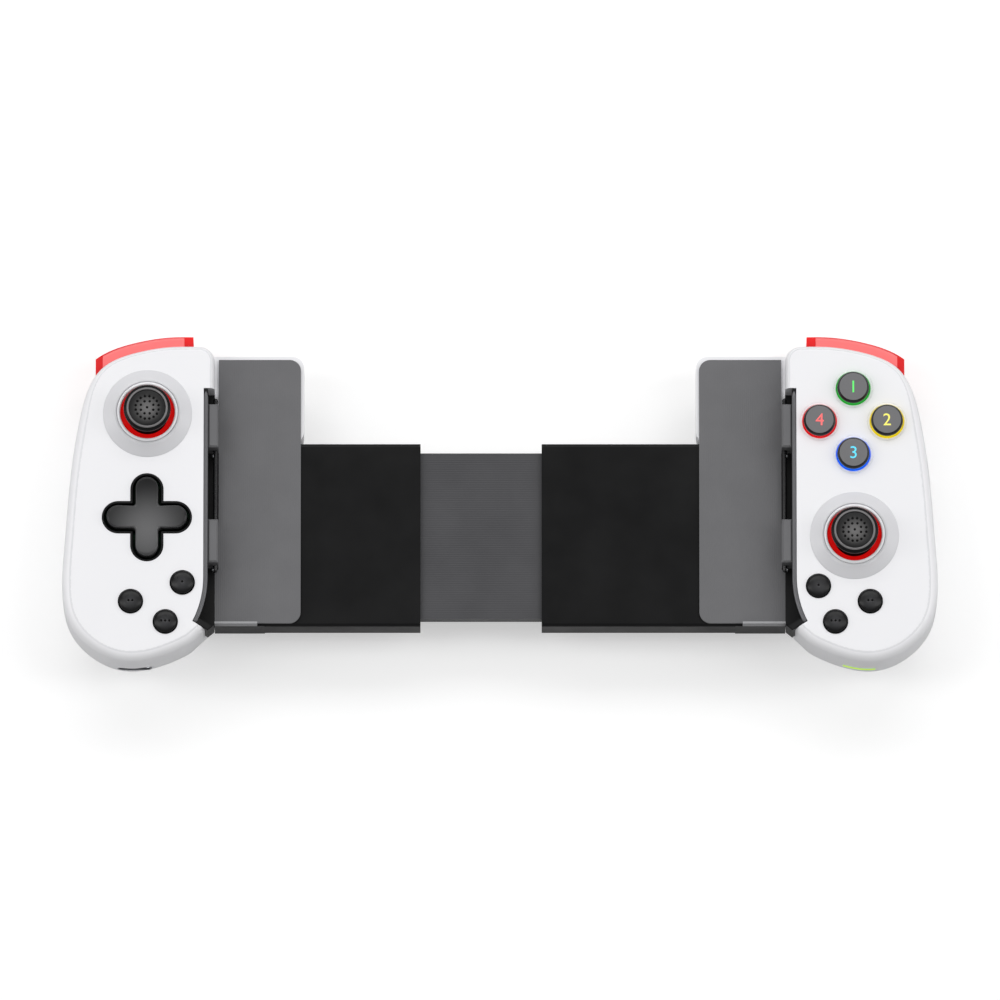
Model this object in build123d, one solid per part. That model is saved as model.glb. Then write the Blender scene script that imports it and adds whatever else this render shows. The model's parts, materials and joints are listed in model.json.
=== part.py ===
"""Mobile game controller: two moulded handles on a telescoping bridge, in millimetres.

X runs along the bridge, Y away from the user across the faces, Z out of the faces.
The controller lies on the flat crests of its two palm bulges. While it is set out, Y is
zero at the bottom of the handles; the finished pieces move to the middle of their box.
Depths are measured down from the face of the handles.
"""
import math
import os

from build123d import *

# Phone bay, which the rest is set out from
phone_width = 146.7
phone_thickness = 7.4
phone_inset = 1.0
phone_gap = 0.25
edge_pad_thickness = 2.7
edge_pad_length = 11.5
rest_pad_thickness = 0.8
rest_pad_reach = 22.5
ledge_width = 0.55
ledge_rise = 3.4
ledge_reach = 11.2

# Handles
handle_width = 39.7
handle_height = 84.1
handle_depth = 30.0
corner_overhang = 1.0
rim_width = 2.6
roll_depth = 2.6
cover_wall = 2.0
inner_wall = 1.0
shell_wall = 4.0
cavity_depth = 19.0
wing_reach = 23.3
wing_drop = 1.0
wing_round = 3.0

# Clamp bracket
bracket_wall = 1.1
bracket_inset = 0.3
bracket_round = 0.35

# Bridge
bridge_height = 48.9
bridge_thickness = 9.2
left_sleeve_end = 20.8
right_sleeve_end = 10.9
sleeve_wall = 1.5
sleeve_side = 2.2
sleeve_rib = 3.4
sleeve_root = 1.6
sleeve_edge = 0.9
sleeve_cuff = 13.1
tongue_length = 2.9
tongue_step = 1.2
plate_length = 114.0
plate_thickness = 3.8
back_cover_thickness = 1.0
bridge_close = 15.5
bridge_open = 13.0

# Rack and pinion
gear_module = 1.0
gear_teeth = 12
rack_teeth = 12
tooth_root_share = 1.1
tooth_room_share = 1.6
rack_tooth_shares = ((-1.30, 1.05), (-1.10, 1.00), (0.00, 0.62), (0.80, 0.32))
pinion_tooth_shares = ((-1.30, 0.85), (-0.90, 0.80), (0.00, 0.58), (0.75, 0.28))
gear_thickness = 2.0
gear_bore = 3.1
rack_back = 2.9
rack_foot_length = 6.0
rack_foot_place = 42.0

# Springs and ribbon
return_spring_width = 2.8
return_spring_wire = 0.5
ribbon_width = 5.5
ribbon_thickness = 0.3
ribbon_inset = 0.5
ribbon_groove = 1.0
ribbon_rise = 1.6
ribbon_entry = 12.2
ribbon_bend = 0.45
ribbon_lane = 14.5
spring_lane = 15.5

# Thumbsticks
collar_width = 23.3
collar_rise = 2.3
lip_width = 15.9
lip_rise = 0.3
well_width = 14.3
collar_spigot = 18.0
collar_depth = 3.2
stick_top = 7.5
funnel_foot = 11.3
funnel_rise = 0.9
cap_width = 12.3
cap_rim = 10.3
cap_tail = 1.2
cap_stem = 5.4
stick_pivot_depth = 11.0
shaft_width = 3.2
shaft_hub = 5.2
module_width = 16.4
module_top = 7.0
module_bottom = 16.4
module_wall = 0.8
module_lug = 1.3
module_lug_width = 4.4
carrier_wall = 1.2
carrier_height = 5.6
gimbal_side = 10.2
gimbal_wall = 1.6
gimbal_height = 3.0
gimbal_pin = 1.2

# Cross key
cross_length = 23.5
cross_arm = 8.6
key_length = 21.0
key_arm = 5.9
key_rise = 2.0
key_depth = 3.0
bezel_wall = 0.65
cross_pivot_depth = 5.4
cross_pivot_side = 5.2
cross_pivot_height = 2.4
cross_lug = 1.2
cross_lug_length = 3.4
plunger_width = 2.4
plunger_place = 7.5

# Buttons
small_button_width = 6.15
small_button_rise = 1.3
small_flange_width = 7.0
small_travel = 0.8
action_button_width = 8.7
action_button_rise = 2.5
action_top_width = 7.6
action_flange_width = 9.4
action_travel = 1.0
action_offset = 8.8
light_ring_width = 10.3
light_ring_rise = 0.4
flange_thickness = 0.7
button_stem = 2.6
button_gap = 0.25
switch_width = 4.0
switch_height = 1.5
stem_clearance = 0.3

# Bumpers and triggers
bumper_reach = 2.8
bumper_thickness = 6.0
bumper_top = 3.0
bumper_root = 3.2
bumper_inner = 8.0
bumper_outer = 29.3
bumper_round = 0.8
bumper_eye = 4.4
bumper_pin = 2.0
bumper_pivot_across = 6.0
bumper_pivot_drop = 4.55
trigger_reach = 4.55
trigger_top = 10.7
trigger_bottom = 23.0
trigger_swing = 2.6
trigger_step = 16.0
trigger_root = 2.4
trigger_skin = 3.8
trigger_inner = 5.7
trigger_outer = 31.3
trigger_round = 1.8
pocket_root = 4.2
pocket_wall = 1.1
trigger_pin_width = 1.5
trigger_hub = 3.0
trigger_pin_depth = 12.7
lug_width = 1.8
trigger_spring_length = 5.0
trigger_spring_wire = 0.5

# Electronics
board_depth = 9.6
board_thickness = 1.6
board_gap = 0.3
battery_width = 20.0
battery_height = 34.0
battery_thickness = 5.2
battery_gap = 0.4
port_width = 8.94
port_thickness = 3.2
port_length = 7.3
port_shell = 0.3
port_set_back = 0.3
light_width = 8.4
light_height = 1.8
light_length = 5.0
light_depth = 12.2

# Screws
screw_width = 1.7
screw_head = 4.0
screw_head_height = 1.6
screw_seat_depth = 17.5
screw_tip_depth = 4.6
boss_width = 4.2
column_width = 5.6

# Fits
fit_gap = 0.05
running_gap = 0.1
free_gap = 0.3
overrun = 2.0
outline_step = 3.0

# Outline of the left handle: shares of its width outward from the inner edge and of its
# height, and the way in which the rim leans in there, as shares of the rim's width.
outline_shares = (
    (0.000, 0.952, 0.52, 0.00),
    (0.100, 1.000, 0.00, -0.52),
    (0.260, 1.000, 0.00, -0.52),
    (0.500, 0.983, 0.00, -0.52),
    (0.738, 0.933, -0.35, -0.50),
    (0.889, 0.768, -0.90, -0.20),
    (0.945, 0.598, -0.96, 0.00),
    (0.985, 0.370, -0.96, 0.00),
    (1.000, 0.250, -0.98, 0.00),
    (0.952, 0.121, -0.80, 0.60),
    (0.800, 0.040, -0.40, 0.90),
    (0.511, 0.000, 0.00, 1.00),
    (0.176, 0.052, 0.50, 0.85),
    (0.000, 0.127, 0.60, 0.70),
)
outline_end_way = (1, 0.95)
palm_centre_share = (0.52, 0.36)
palm_exponent = 3
palm_angles = (0, 15, 30, 45, 60, 78)
roll_angles = (0, 30, 60, 90)
crown_angles = (90, 67, 45, 22, 0)
crown_share = 0.55

# Places on a handle, as shares of its width and height
bay_low_share = 0.138
bracket_top_share = 0.863
bracket_bend_share = 0.262
bracket_heel_share = (0.141, 0.123)
bracket_toe_share = (0.042, 0.094)
bracket_end_share = 0.110
upper_pad_share = 0.746
lower_pad_share = 0.380
left_stick_share = (0.441, 0.782)
right_stick_share = (0.451, 0.394)
cross_share = (0.443, 0.452)
action_share = (0.446, 0.757)
left_small_shares = {
    "upper": (0.209, 0.245),
    "outer": (0.549, 0.1855),
    "lower": (0.320, 0.121),
}
right_small_shares = {
    "upper": (0.214, 0.234),
    "outer": (0.554, 0.1855),
    "lower": (0.325, 0.121),
}
screw_shares = ((0.154, 0.858), (0.856, 0.536), (0.741, 0.085), (0.154, 0.334))
pin_inner_share = (0.098, 0.981)
pin_outer_share = (0.627, 0.9525)
battery_share = (0.514, 0.430)
port_share = 0.524
light_share = 0.484

# Levels and edges worked out from the sizes above
bay_low = bay_low_share * handle_height
pad_face = phone_width / 2 + phone_gap
wall_face = pad_face + edge_pad_thickness
bracket_edge = wall_face + bracket_wall
inner_edge = pad_face + corner_overhang
wing_high = handle_height - wing_drop
bumper_pivot = (-(inner_edge + bumper_pivot_across), handle_height - bumper_pivot_drop)
split_depth = phone_inset + phone_thickness + phone_gap + rest_pad_thickness
bridge_back = split_depth + bridge_thickness
bridge_low = bay_low - ledge_width - running_gap
bridge_mid = bridge_low + bridge_height / 2
plate_front = split_depth + sleeve_wall + running_gap
plate_back = plate_front + plate_thickness
plate_height = bridge_height - 2 * (sleeve_side + running_gap)
rib_depth = plate_back + running_gap
sleeve_floor = bridge_back - sleeve_wall
back_cover_height = bridge_height - 2 * (sleeve_side + sleeve_rib + free_gap)
pitch_radius = gear_module * gear_teeth / 2
rack_root = bridge_mid + pitch_radius + gear_module * tooth_root_share
gear_back = plate_back - running_gap
ribbon_depth = plate_back - ribbon_inset
switch_top = board_depth - switch_height
board_back = board_depth + board_thickness


def level(depth):
    """Height of the plane that lies this depth below the faces."""
    return handle_depth - depth


def place(share):
    """Point of the left handle at shares of its width and height."""
    return (-(inner_edge + share[0] * handle_width), share[1] * handle_height)


def slab(sketch, top, bottom):
    """Sketch made solid from the depth top to the depth bottom."""
    return extrude(Pos(0, 0, level(bottom)) * sketch, bottom - top)


def block(x_range, y_range, top, bottom):
    """Box between two X values, two Y values and two depths."""
    x_low, x_high = sorted(x_range)
    y_low, y_high = sorted(y_range)
    centre = ((x_low + x_high) / 2, (y_low + y_high) / 2, level((top + bottom) / 2))
    return Pos(*centre) * Box(x_high - x_low, y_high - y_low, bottom - top)


def post(point, width, top, bottom):
    """Upright cylinder at an XY point between two depths."""
    return Pos(point[0], point[1], level((top + bottom) / 2)) * Cylinder(width / 2, bottom - top)


def rod(start, end, width):
    """Cylinder between two points in space."""
    path = Line(start, end)
    return extrude(Plane(origin=start, z_dir=path % 0) * Circle(width / 2), path.length)


def turned(points):
    """Solid turned about Z from a closed outline of (radius, height) points."""
    return revolve(make_face(Polyline(*[(r, 0, z) for r, z in points], close=True)), Axis.Z)


def on_face(point, piece, depth=0):
    """Piece modelled round the Z axis, put at an XY point with its zero at a depth."""
    return Pos(point[0], point[1], level(depth)) * piece


def largest(shape):
    """Largest solid of a shape, without the crumbs that a cut may leave."""
    return shape.solids().sort_by(SortBy.VOLUME)[-1]


def handle_outline(lean=0, scale=1):
    """Outline of the left handle, leaned in along its rim or drawn in round the palm."""
    palm_x, palm_y = place(palm_centre_share)
    points = []
    for across, up, lean_across, lean_up in outline_shares:
        x, y = place((across, up))
        x += -lean * lean_across
        y += lean * lean_up
        points.append((palm_x + (x - palm_x) * scale, palm_y + (y - palm_y) * scale))
    edge = Line(points[-1], points[0])
    corner = TangentArc(points[0], points[1], tangent=(0, 1))
    sweep_round = Spline(*points[1:], tangents=((-1, 0), outline_end_way))
    return make_face([edge, corner, sweep_round])


def drawn_outline(amount):
    """Handle's outline moved out by an amount, or in when it is negative, as one free curve."""
    plain, points, ways = [], [], []
    for edge in offset(handle_outline(), amount=amount).face().outer_wire().edges():
        if edge.geom_type == GeomType.OFFSET:
            steps = max(2, round(edge.length / outline_step))
            points += [edge @ (step / steps) for step in range(steps)]
            ways += [edge % 0, edge % 1]
            end = edge @ 1
        else:
            plain.append(edge)
    return make_face(plain + [Spline(*points, end, tangents=(ways[0], ways[-1]))])


def top_band(outside, inside, inner_end, outer_end):
    """Strip along the handle's top edge, from outside it to inside it, between two ends."""
    strip = drawn_outline(outside) - drawn_outline(-inside)
    x_low, x_high = -(inner_edge + outer_end), -(inner_edge + inner_end)
    y_low = bracket_top_share * handle_height - inside
    y_high = handle_height + outside + overrun
    window = Rectangle(x_high - x_low, y_high - y_low)
    return strip & Pos((x_low + x_high) / 2, (y_low + y_high) / 2) * window


def bracket_area():
    """Area of the clamp bracket in the left handle's inner edge."""
    top_y = bracket_top_share * handle_height
    bend = (-bracket_edge, bracket_bend_share * handle_height)
    heel = place(bracket_heel_share)
    toe = place(bracket_toe_share)
    end = (-inner_edge, bracket_end_share * handle_height)
    return make_face([
        Line((-bracket_edge, top_y), bend),
        TangentArc(bend, heel, tangent=(0, -1)),
        Polyline(heel, toe, end, (-inner_edge, top_y), (-bracket_edge, top_y)),
    ])


def cross_area(length, arm):
    """Cross of two round-ended bars."""
    return SlotOverall(length, arm) + Rot(0, 0, 90) * SlotOverall(length, arm)


def trigger_pin_line():
    """Ends of the trigger's pin, its middle and its direction towards the outer end."""
    depth = level(trigger_pin_depth)
    inner = Vector(*place(pin_inner_share), depth)
    outer = Vector(*place(pin_outer_share), depth)
    return inner, outer, (inner + outer) / 2, (outer - inner).normalized()


def rolled_block():
    """Handle from its face to the split, with the rolled rim."""
    sections = []
    for angle in roll_angles:
        turn = math.radians(angle)
        sections.append(
            Pos(0, 0, level(roll_depth * (1 - math.sin(turn))))
            * handle_outline(lean=rim_width * (1 - math.cos(turn)))
        )
    return slab(handle_outline(), roll_depth, split_depth) + loft(sections)


def trigger_pocket(wall):
    """Pocket of the trigger in the top edge, grown by a wall's thickness."""
    margin = free_gap + wall
    return top_band(
        trigger_reach + overrun, pocket_root + wall, trigger_inner - margin, trigger_outer + margin
    )


def front_cover(openings):
    """White front shell with the holes of its own controls."""
    inside = drawn_outline(-cover_wall)
    inside -= offset(bracket_area(), amount=inner_wall + fit_gap)
    cover = rolled_block() - slab(inside, cover_wall, split_depth)
    for share in screw_shares:
        cover += post(place(share), boss_width, cover_wall, split_depth)
    for share in screw_shares:
        cover -= post(place(share), screw_width + fit_gap, screw_tip_depth - overrun / 2, split_depth)
    cover -= slab(offset(bracket_area(), amount=fit_gap), -overrun, split_depth + overrun)
    slot = top_band(trigger_reach, cover_wall + free_gap, bumper_inner - free_gap, bumper_outer + free_gap)
    cover -= slab(slot, bumper_top - free_gap, split_depth + overrun)
    swing = top_band(trigger_reach, trigger_root + free_gap, bumper_outer, trigger_outer + free_gap)
    cover -= slab(swing, trigger_top - trigger_swing, split_depth + overrun)
    cover += post(bumper_pivot, bumper_pin, cover_wall, bumper_top + bumper_thickness)
    for point, sketch in openings:
        cover -= slab(Pos(*point) * sketch, -overrun, cover_wall + fit_gap)
    return largest(cover)


def palm_dome():
    """Back of the handle, drawn in towards the flat crest of the palm bulge."""
    power = 2 / palm_exponent
    reach = math.sin(math.radians(palm_angles[-1])) ** power
    sections = []
    for angle in palm_angles:
        turn = math.radians(angle)
        depth = split_depth + (handle_depth - split_depth) * math.sin(turn) ** power / reach
        sections.append(Pos(0, 0, level(depth)) * handle_outline(scale=math.cos(turn) ** power))
    return loft(sections)


def wing():
    """Short white wing of the rear shell behind the phone's corner."""
    low = bridge_low + bridge_height + running_gap
    inner = -(inner_edge - wing_reach)
    root = -(inner_edge + shell_wall - free_gap)
    plate = block((root, inner), (low, wing_high), split_depth, bridge_back)
    corners = plate.edges().filter_by(Axis.Z).group_by(Axis.X)[-1]
    return fillet(corners, wing_round)


def ribbon_passage(x_range):
    """Slot for the flat ribbon through the inner end of a handle."""
    middle = bridge_mid + ribbon_lane
    half = ribbon_width / 2 + free_gap
    thickness = ribbon_thickness / 2 + free_gap
    return block(
        x_range, (middle - half, middle + half), ribbon_depth - thickness, ribbon_depth + thickness
    )


def sleeve_tongue(gap):
    """Narrow root of the sleeve that sits in the rear shell."""
    step = tongue_step - gap
    return block(
        (-(inner_edge + tongue_length + gap), -(inner_edge - tongue_length)),
        (bridge_low + step, bridge_low + bridge_height - step),
        split_depth + step,
        bridge_back - step,
    )


def trigger_lug():
    """Ear of the rear shell that holds the outer end of the trigger's pin."""
    _, outer, _, _ = trigger_pin_line()
    x = outer.X + lug_width / 2
    foot = outer.Y - pocket_root
    half = trigger_hub / 2 + free_gap
    ear = block(
        (x - lug_width / 2, x + lug_width / 2),
        (foot, outer.Y),
        trigger_pin_depth - half,
        trigger_pin_depth + half,
    )
    crown = Pos(x, outer.Y, level(trigger_pin_depth)) * Rot(0, 90, 0) * Cylinder(half, lug_width)
    return ear + crown


def rear_shell(bottom_window, with_battery):
    """White rear shell with the palm bulge, the wing and the seats of what it carries."""
    inside = drawn_outline(-shell_wall) - trigger_pocket(pocket_wall)
    shell = palm_dome() - slab(inside, split_depth, cavity_depth)
    if with_battery:
        x, y = place(battery_share)
        half_x, half_y = battery_width / 2 + battery_gap, battery_height / 2 + battery_gap
        bay = block(
            (x - half_x, x + half_x), (y - half_y, y + half_y),
            cavity_depth, cavity_depth + battery_gap + battery_thickness + fit_gap,
        )
        shell -= bay
    shell -= slab(trigger_pocket(0), split_depth, handle_depth)
    shell += wing()
    for share in screw_shares:
        shell += post(place(share), column_width, board_back, cavity_depth)
        shell += post(place(share), boss_width, split_depth, board_back)
    for share in screw_shares:
        shell -= post(place(share), screw_width + free_gap, split_depth, screw_seat_depth)
        shell -= post(place(share), screw_head + free_gap, screw_seat_depth, handle_depth)
    shell += trigger_lug()
    inner, outer, _, _ = trigger_pin_line()
    shell -= rod(tuple(inner), tuple(outer), trigger_pin_width + fit_gap)
    shell -= sleeve_tongue(fit_gap)
    shell -= ribbon_passage((-(inner_edge + shell_wall + overrun), -inner_edge))
    return largest(shell - bottom_window)


def clamp_bracket():
    """Black wall and foot that face the phone's short edge."""
    tray = slab(bracket_area(), bracket_inset, split_depth)
    rim = tray.faces().sort_by(Axis.Z)[-1].edges()
    tray = fillet(rim.filter_by(lambda e: e.center().X < -inner_edge - bracket_round), bracket_round)
    channel = slab(
        Pos(bracket_wall, bracket_wall) * bracket_area(), -overrun, split_depth - rest_pad_thickness
    )
    return largest(tray - channel)


def grip_pads():
    """Rubber pads of one handle: two edge pads, the rest pad and the ledge strip."""
    top = phone_inset - phone_gap
    floor = split_depth - rest_pad_thickness
    pads = []
    for share in (upper_pad_share, lower_pad_share):
        middle, half = share * handle_height, edge_pad_length / 2
        pad = block((-wall_face, -pad_face), (middle - half, middle + half), top, floor)
        pads.append(chamfer(pad.edges().group_by(Axis.Z)[-1], edge_pad_thickness / 6))
    rest_low = bridge_low + ledge_width + running_gap
    rest_high = wing_high - wing_drop
    rest = block((-pad_face, -(inner_edge - rest_pad_reach)), (rest_low, rest_high), floor, split_depth)
    rest = fillet(rest.edges().filter_by(Axis.Z).group_by(Axis.X)[-1], wing_round)
    heel_high = lower_pad_share * handle_height - edge_pad_length / 2 - free_gap
    pads.append(rest + block((-inner_edge + fit_gap, -pad_face), (rest_low, heel_high), floor, split_depth))
    pads.append(block(
        (-inner_edge + fit_gap, -(inner_edge - ledge_reach)),
        (bridge_low, bridge_low + ledge_width),
        split_depth - ledge_rise,
        split_depth,
    ))
    return Compound(pads)


def bridge_sleeve(inner_end):
    """Black telescoping sleeve of the left handle, hollow for the centre plate."""
    low, high = bridge_low, bridge_low + bridge_height
    outer = block((-inner_edge, -inner_end), (low, high), split_depth, bridge_back)
    outer = fillet(outer.edges().filter_by(Axis.X), sleeve_edge)
    outer += block((-inner_edge, -(inner_edge - sleeve_cuff)), (low, high), split_depth, bridge_back)
    outer += sleeve_tongue(0)
    root = -(inner_edge - sleeve_root)
    end = -inner_end + overrun
    side = sleeve_side
    outer -= block((root, end), (low + side, high - side), plate_front - running_gap, rib_depth)
    side = sleeve_side + sleeve_rib
    outer -= block((root, end), (low + side, high - side), rib_depth, sleeve_floor)
    outer -= ribbon_passage((-(inner_edge + tongue_length + overrun), root + overrun))
    return largest(outer)


def gear_tooth_points(heights_and_halves, sign=1):
    """Closed trapezoid of one tooth from (height, half width) pairs in modules."""
    left = [(-half * gear_module, sign * height * gear_module) for height, half in heights_and_halves]
    right = [(-x, y) for x, y in reversed(left)]
    return left + right


def pinion_gear():
    """Pinion that keeps the two racks in step."""
    wheel = Circle(pitch_radius - tooth_root_share * gear_module)
    shape = make_face(Polyline(*gear_tooth_points(pinion_tooth_shares), close=True))
    for tooth in range(gear_teeth):
        wheel += Rot(0, 0, 360 * tooth / gear_teeth) * Pos(0, pitch_radius) * shape
    wheel -= Circle(gear_bore / 2)
    return Pos(0, bridge_mid) * slab(wheel, gear_back - gear_thickness, gear_back)


def left_rack():
    """Toothed rack of the left sleeve, above the pinion, with the foot that carries it."""
    pitch = math.pi * gear_module
    line = bridge_mid + pitch_radius
    root = rack_root
    end = rack_teeth * pitch / 2
    foot_end = -(rack_foot_place + rack_foot_length)
    bar = Pos((foot_end + end) / 2, root + rack_back / 2) * Rectangle(end - foot_end, rack_back)
    for tooth in range(rack_teeth):
        centre = (tooth + 0.5 - rack_teeth / 2) * pitch
        shape = make_face(Polyline(*gear_tooth_points(rack_tooth_shares, -1), close=True))
        bar += Pos(centre, line) * shape
    rack = slab(bar, gear_back - gear_thickness, gear_back)
    foot = block((foot_end, -rack_foot_place), (root, root + rack_back), gear_back, sleeve_floor)
    return largest(rack + foot)


def half_turn(piece):
    """Piece turned half a turn about the bridge's middle."""
    return Pos(0, bridge_mid) * Rot(0, 0, 180) * Pos(0, -bridge_mid) * piece


def rack_groove():
    """Groove of the left rack in the back of the centre plate."""
    line = bridge_mid + pitch_radius
    high = rack_root + rack_back + running_gap
    end = rack_teeth * math.pi * gear_module / 2 + bridge_close + free_gap
    return block(
        (-plate_length / 2 - overrun, end), (line - gear_module * tooth_room_share, high),
        gear_back - gear_thickness - running_gap, plate_back + overrun,
    )


def centre_plate():
    """Grey plate that both sleeves slide on, with the pinion's boss."""
    low = bridge_mid - plate_height / 2
    half = plate_length / 2
    plate = block((-half, half), (low, low + plate_height), plate_front, plate_back)
    plate = chamfer(plate.edges().filter_by(Axis.Z), sleeve_edge)
    gear_front = gear_back - gear_thickness - running_gap
    pocket = pitch_radius + gear_module + free_gap
    plate -= post((0, bridge_mid), pocket * 2, gear_front, plate_back)
    plate -= rack_groove() + half_turn(rack_groove())
    lane = bridge_mid + ribbon_lane
    reach = ribbon_width / 2 + free_gap
    plate -= block((-half, half), (lane - reach, lane + reach), plate_back - ribbon_groove, plate_back)
    lane = bridge_mid - spring_lane
    reach = return_spring_width / 2 + free_gap
    for side in (-1, 1):
        plate -= block(
            (side * half, side * (spring_stop() - free_gap)), (lane - reach, lane + reach),
            plate_back - return_spring_width - free_gap, plate_back,
        )
    return plate + post((0, bridge_mid), gear_bore - running_gap, gear_front, plate_back)


def spring_stop():
    """Distance from the middle at which a return spring is held in the centre plate."""
    return plate_length / 2 - bridge_close - bridge_thickness


def centre_back_cover():
    """Thin cover behind the racks, cut away where the racks' feet run."""
    half = plate_length / 2
    low = bridge_mid - back_cover_height / 2
    bottom = plate_back + back_cover_thickness
    cover = block((-half, half), (low, low + back_cover_height), plate_back, bottom)
    notch = block(
        (-half - overrun, -rack_foot_place + bridge_close + free_gap),
        (rack_root - free_gap, rack_root + rack_back + free_gap), plate_back, bottom,
    )
    return cover - notch - half_turn(notch)


def return_springs():
    """Two return springs, closed coils that pull the handles together."""
    lane = bridge_mid - spring_lane
    depth = level(plate_back - return_spring_width / 2 - running_gap)
    springs = []
    for side in (-1, 1):
        start = (side * spring_stop(), lane, depth)
        end = (side * (inner_edge - sleeve_root - free_gap), lane, depth)
        bore = return_spring_width - return_spring_wire * 2
        springs.append(rod(start, end, return_spring_width) - rod(start, end, bore))
    return Compound(springs)


def flex_ribbon():
    """Flat ribbon that joins the two circuit boards, with its spare length folded."""
    start = board_back + ribbon_thickness / 2
    fold = ribbon_depth - ribbon_rise
    entry = inner_edge + ribbon_entry
    turn = entry + bridge_open
    half_route = [(entry, start), (entry, fold), (turn, fold), (turn, ribbon_depth)]
    route = [(-x, level(depth)) for x, depth in half_route]
    route += [(x, level(depth)) for x, depth in reversed(half_route)]
    line = FilletPolyline(*route, radius=ribbon_bend)
    strip = trace(line, line_width=ribbon_thickness)
    lane = bridge_mid + ribbon_lane
    upright = Plane(origin=(0, lane, 0), x_dir=(1, 0, 0), z_dir=(0, -1, 0))
    return extrude(upright * strip, ribbon_width / 2, both=True)


def stick_collar():
    """Raised light grey cone round a stick, with its white lip."""
    bore, lip, foot = well_width / 2, lip_width / 2, collar_width / 2
    spigot = collar_spigot / 2
    top = collar_rise + lip_rise
    return turned([
        (bore, -collar_depth), (bore, top - lip_rise), (bore + lip_rise, top),
        (lip - lip_rise, top), (lip, collar_rise), (foot - lip_rise, lip_rise), (foot, 0),
        (spigot, 0), (spigot, -collar_depth),
    ])


def stick_light_ring():
    """Red light ring in the stick's well, a funnel that faces out."""
    outer = well_width / 2 - fit_gap
    inner = funnel_foot / 2
    return turned([
        (outer, funnel_rise), (outer, -collar_depth), (inner, -collar_depth), (inner, -collar_depth * 0.75)
    ])


def stick_cap():
    """Black mushroom cap of a stick, hollow for its shaft."""
    stem, skirt, rim = cap_stem / 2, cap_width / 2, cap_rim / 2
    bore = shaft_width / 2 + fit_gap
    low = -(collar_depth + cap_tail)
    dish = lip_rise
    return turned([
        (bore, low), (stem, low), (stem, stick_top * 0.64), (skirt - lip_rise, stick_top * 0.66),
        (skirt, stick_top * 0.72), (skirt, stick_top * 0.79), (rim, stick_top - dish / 2),
        (rim - dish, stick_top), (rim - dish * 2, stick_top - dish), (rim / 2, stick_top - dish / 3),
        (0, stick_top), (0, stick_top * 0.55), (bore, stick_top * 0.55),
    ])


def stick_shaft():
    """Shaft of a stick with its hub and the pins that carry it in the gimbal."""
    top = stick_pivot_depth + stick_top * 0.50
    body = Cylinder(shaft_hub / 2, gimbal_height - free_gap)
    body += Pos(0, 0, top / 2) * Cylinder(shaft_width / 2, top)
    body += Rot(90, 0, 0) * Cylinder(gimbal_pin / 2, gimbal_side - gimbal_wall / 2)
    return body


def stick_gimbal():
    """Square ring that tilts on the carrier and carries the shaft."""
    ring = Box(gimbal_side, gimbal_side, gimbal_height)
    opening = gimbal_side - gimbal_wall * 2
    ring -= Box(opening, opening, gimbal_height)
    ring = fillet(ring.edges().filter_by(Axis.Z), gimbal_wall / 4)
    ring -= Rot(90, 0, 0) * Cylinder(gimbal_pin / 2 + fit_gap, gimbal_side)
    reach = carrier_inside() / 2 + carrier_wall * 0.75
    for side in (-1, 1):
        start = gimbal_side / 2 - gimbal_wall / 2
        ring += Pos(side * (start + reach) / 2, 0) * Rot(0, 90, 0) * Cylinder(gimbal_pin / 2, reach - start)
    return ring


def carrier_inside():
    """Inner side of the carrier's square frame."""
    return module_width - 2 * (module_wall + running_gap * 2 + carrier_wall)


def stick_carrier():
    """Frame that the gimbal tilts in, which sinks when the stick is pressed."""
    side = carrier_inside() + carrier_wall * 2
    frame = Box(side, side, carrier_height) - Box(carrier_inside(), carrier_inside(), carrier_height)
    frame = Pos(0, 0, -(carrier_height - gimbal_height) / 3) * frame
    return frame - Rot(0, 90, 0) * Cylinder(gimbal_pin / 2 + fit_gap, side)


def stick_module():
    """Housing of a stick's mechanism, with the lugs under the circuit board."""
    height = module_bottom - module_top
    inside = module_width - module_wall * 2
    case = Box(module_width, module_width, height)
    case = chamfer(case.edges().filter_by(Axis.Z), module_wall)
    case -= Box(inside, inside, height - module_wall * 2)
    mouth = shaft_width * 2
    case -= Pos(0, 0, height / 2) * Cylinder(mouth / 2, height / 2)
    lug_depth = board_back + module_wall / 2
    lug_place = (module_top + module_bottom) / 2 - lug_depth
    lugs = Box(module_width + module_lug * 2, module_lug_width, module_wall)
    lugs -= Box(inside, inside, module_wall)
    return case + Pos(0, 0, lug_place) * lugs


def cross_bezel():
    """Black cross-shaped bezel, bevelled towards the key, with a flange under the cover."""
    gap = (cross_arm - key_arm) / 2 - bezel_wall
    opening = cross_area(key_length + gap * 2, key_arm + gap * 2)
    ring = extrude(cross_area(cross_length, cross_arm), -(cover_wall + bezel_wall))
    ring -= extrude(opening, -(cover_wall + bezel_wall * 2))
    edge = ring.edges().group_by(Axis.Z)[-1]
    return chamfer(edge, bezel_wall / 4)


def cross_key():
    """Dark cross key with plungers over its switches and two lugs on the pivot."""
    bar = extrude(cross_area(key_length, key_arm), key_rise + key_depth)
    bar = Pos(0, 0, -key_depth) * chamfer(bar.edges().group_by(Axis.Z)[-1], bezel_wall / 2)
    dish = Pos(0, 0, key_rise + key_length * 1.5 - bezel_wall / 2) * Sphere(key_length * 1.5)
    bar -= dish
    length = switch_top - small_travel * 0.7 - stem_clearance - key_depth
    for quarter in range(4):
        turn = Rot(0, 0, quarter * 90)
        bar += turn * Pos(plunger_place, 0, -(key_depth + length / 2)) * Cylinder(plunger_width / 2, length)
    reach = cross_pivot_side / 2 + running_gap * 3
    for side in (-1, 1):
        bar += Pos(0, side * (reach + cross_lug / 2), -(key_depth + cross_lug_length / 2)) * Box(
            cross_lug * 2.5, cross_lug, cross_lug_length
        )
    return bar - Pos(0, 0, -cross_pivot_depth) * Rot(90, 0, 0) * Cylinder(
        gimbal_pin / 2 + fit_gap, (reach + cross_lug) * 2
    )


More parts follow.
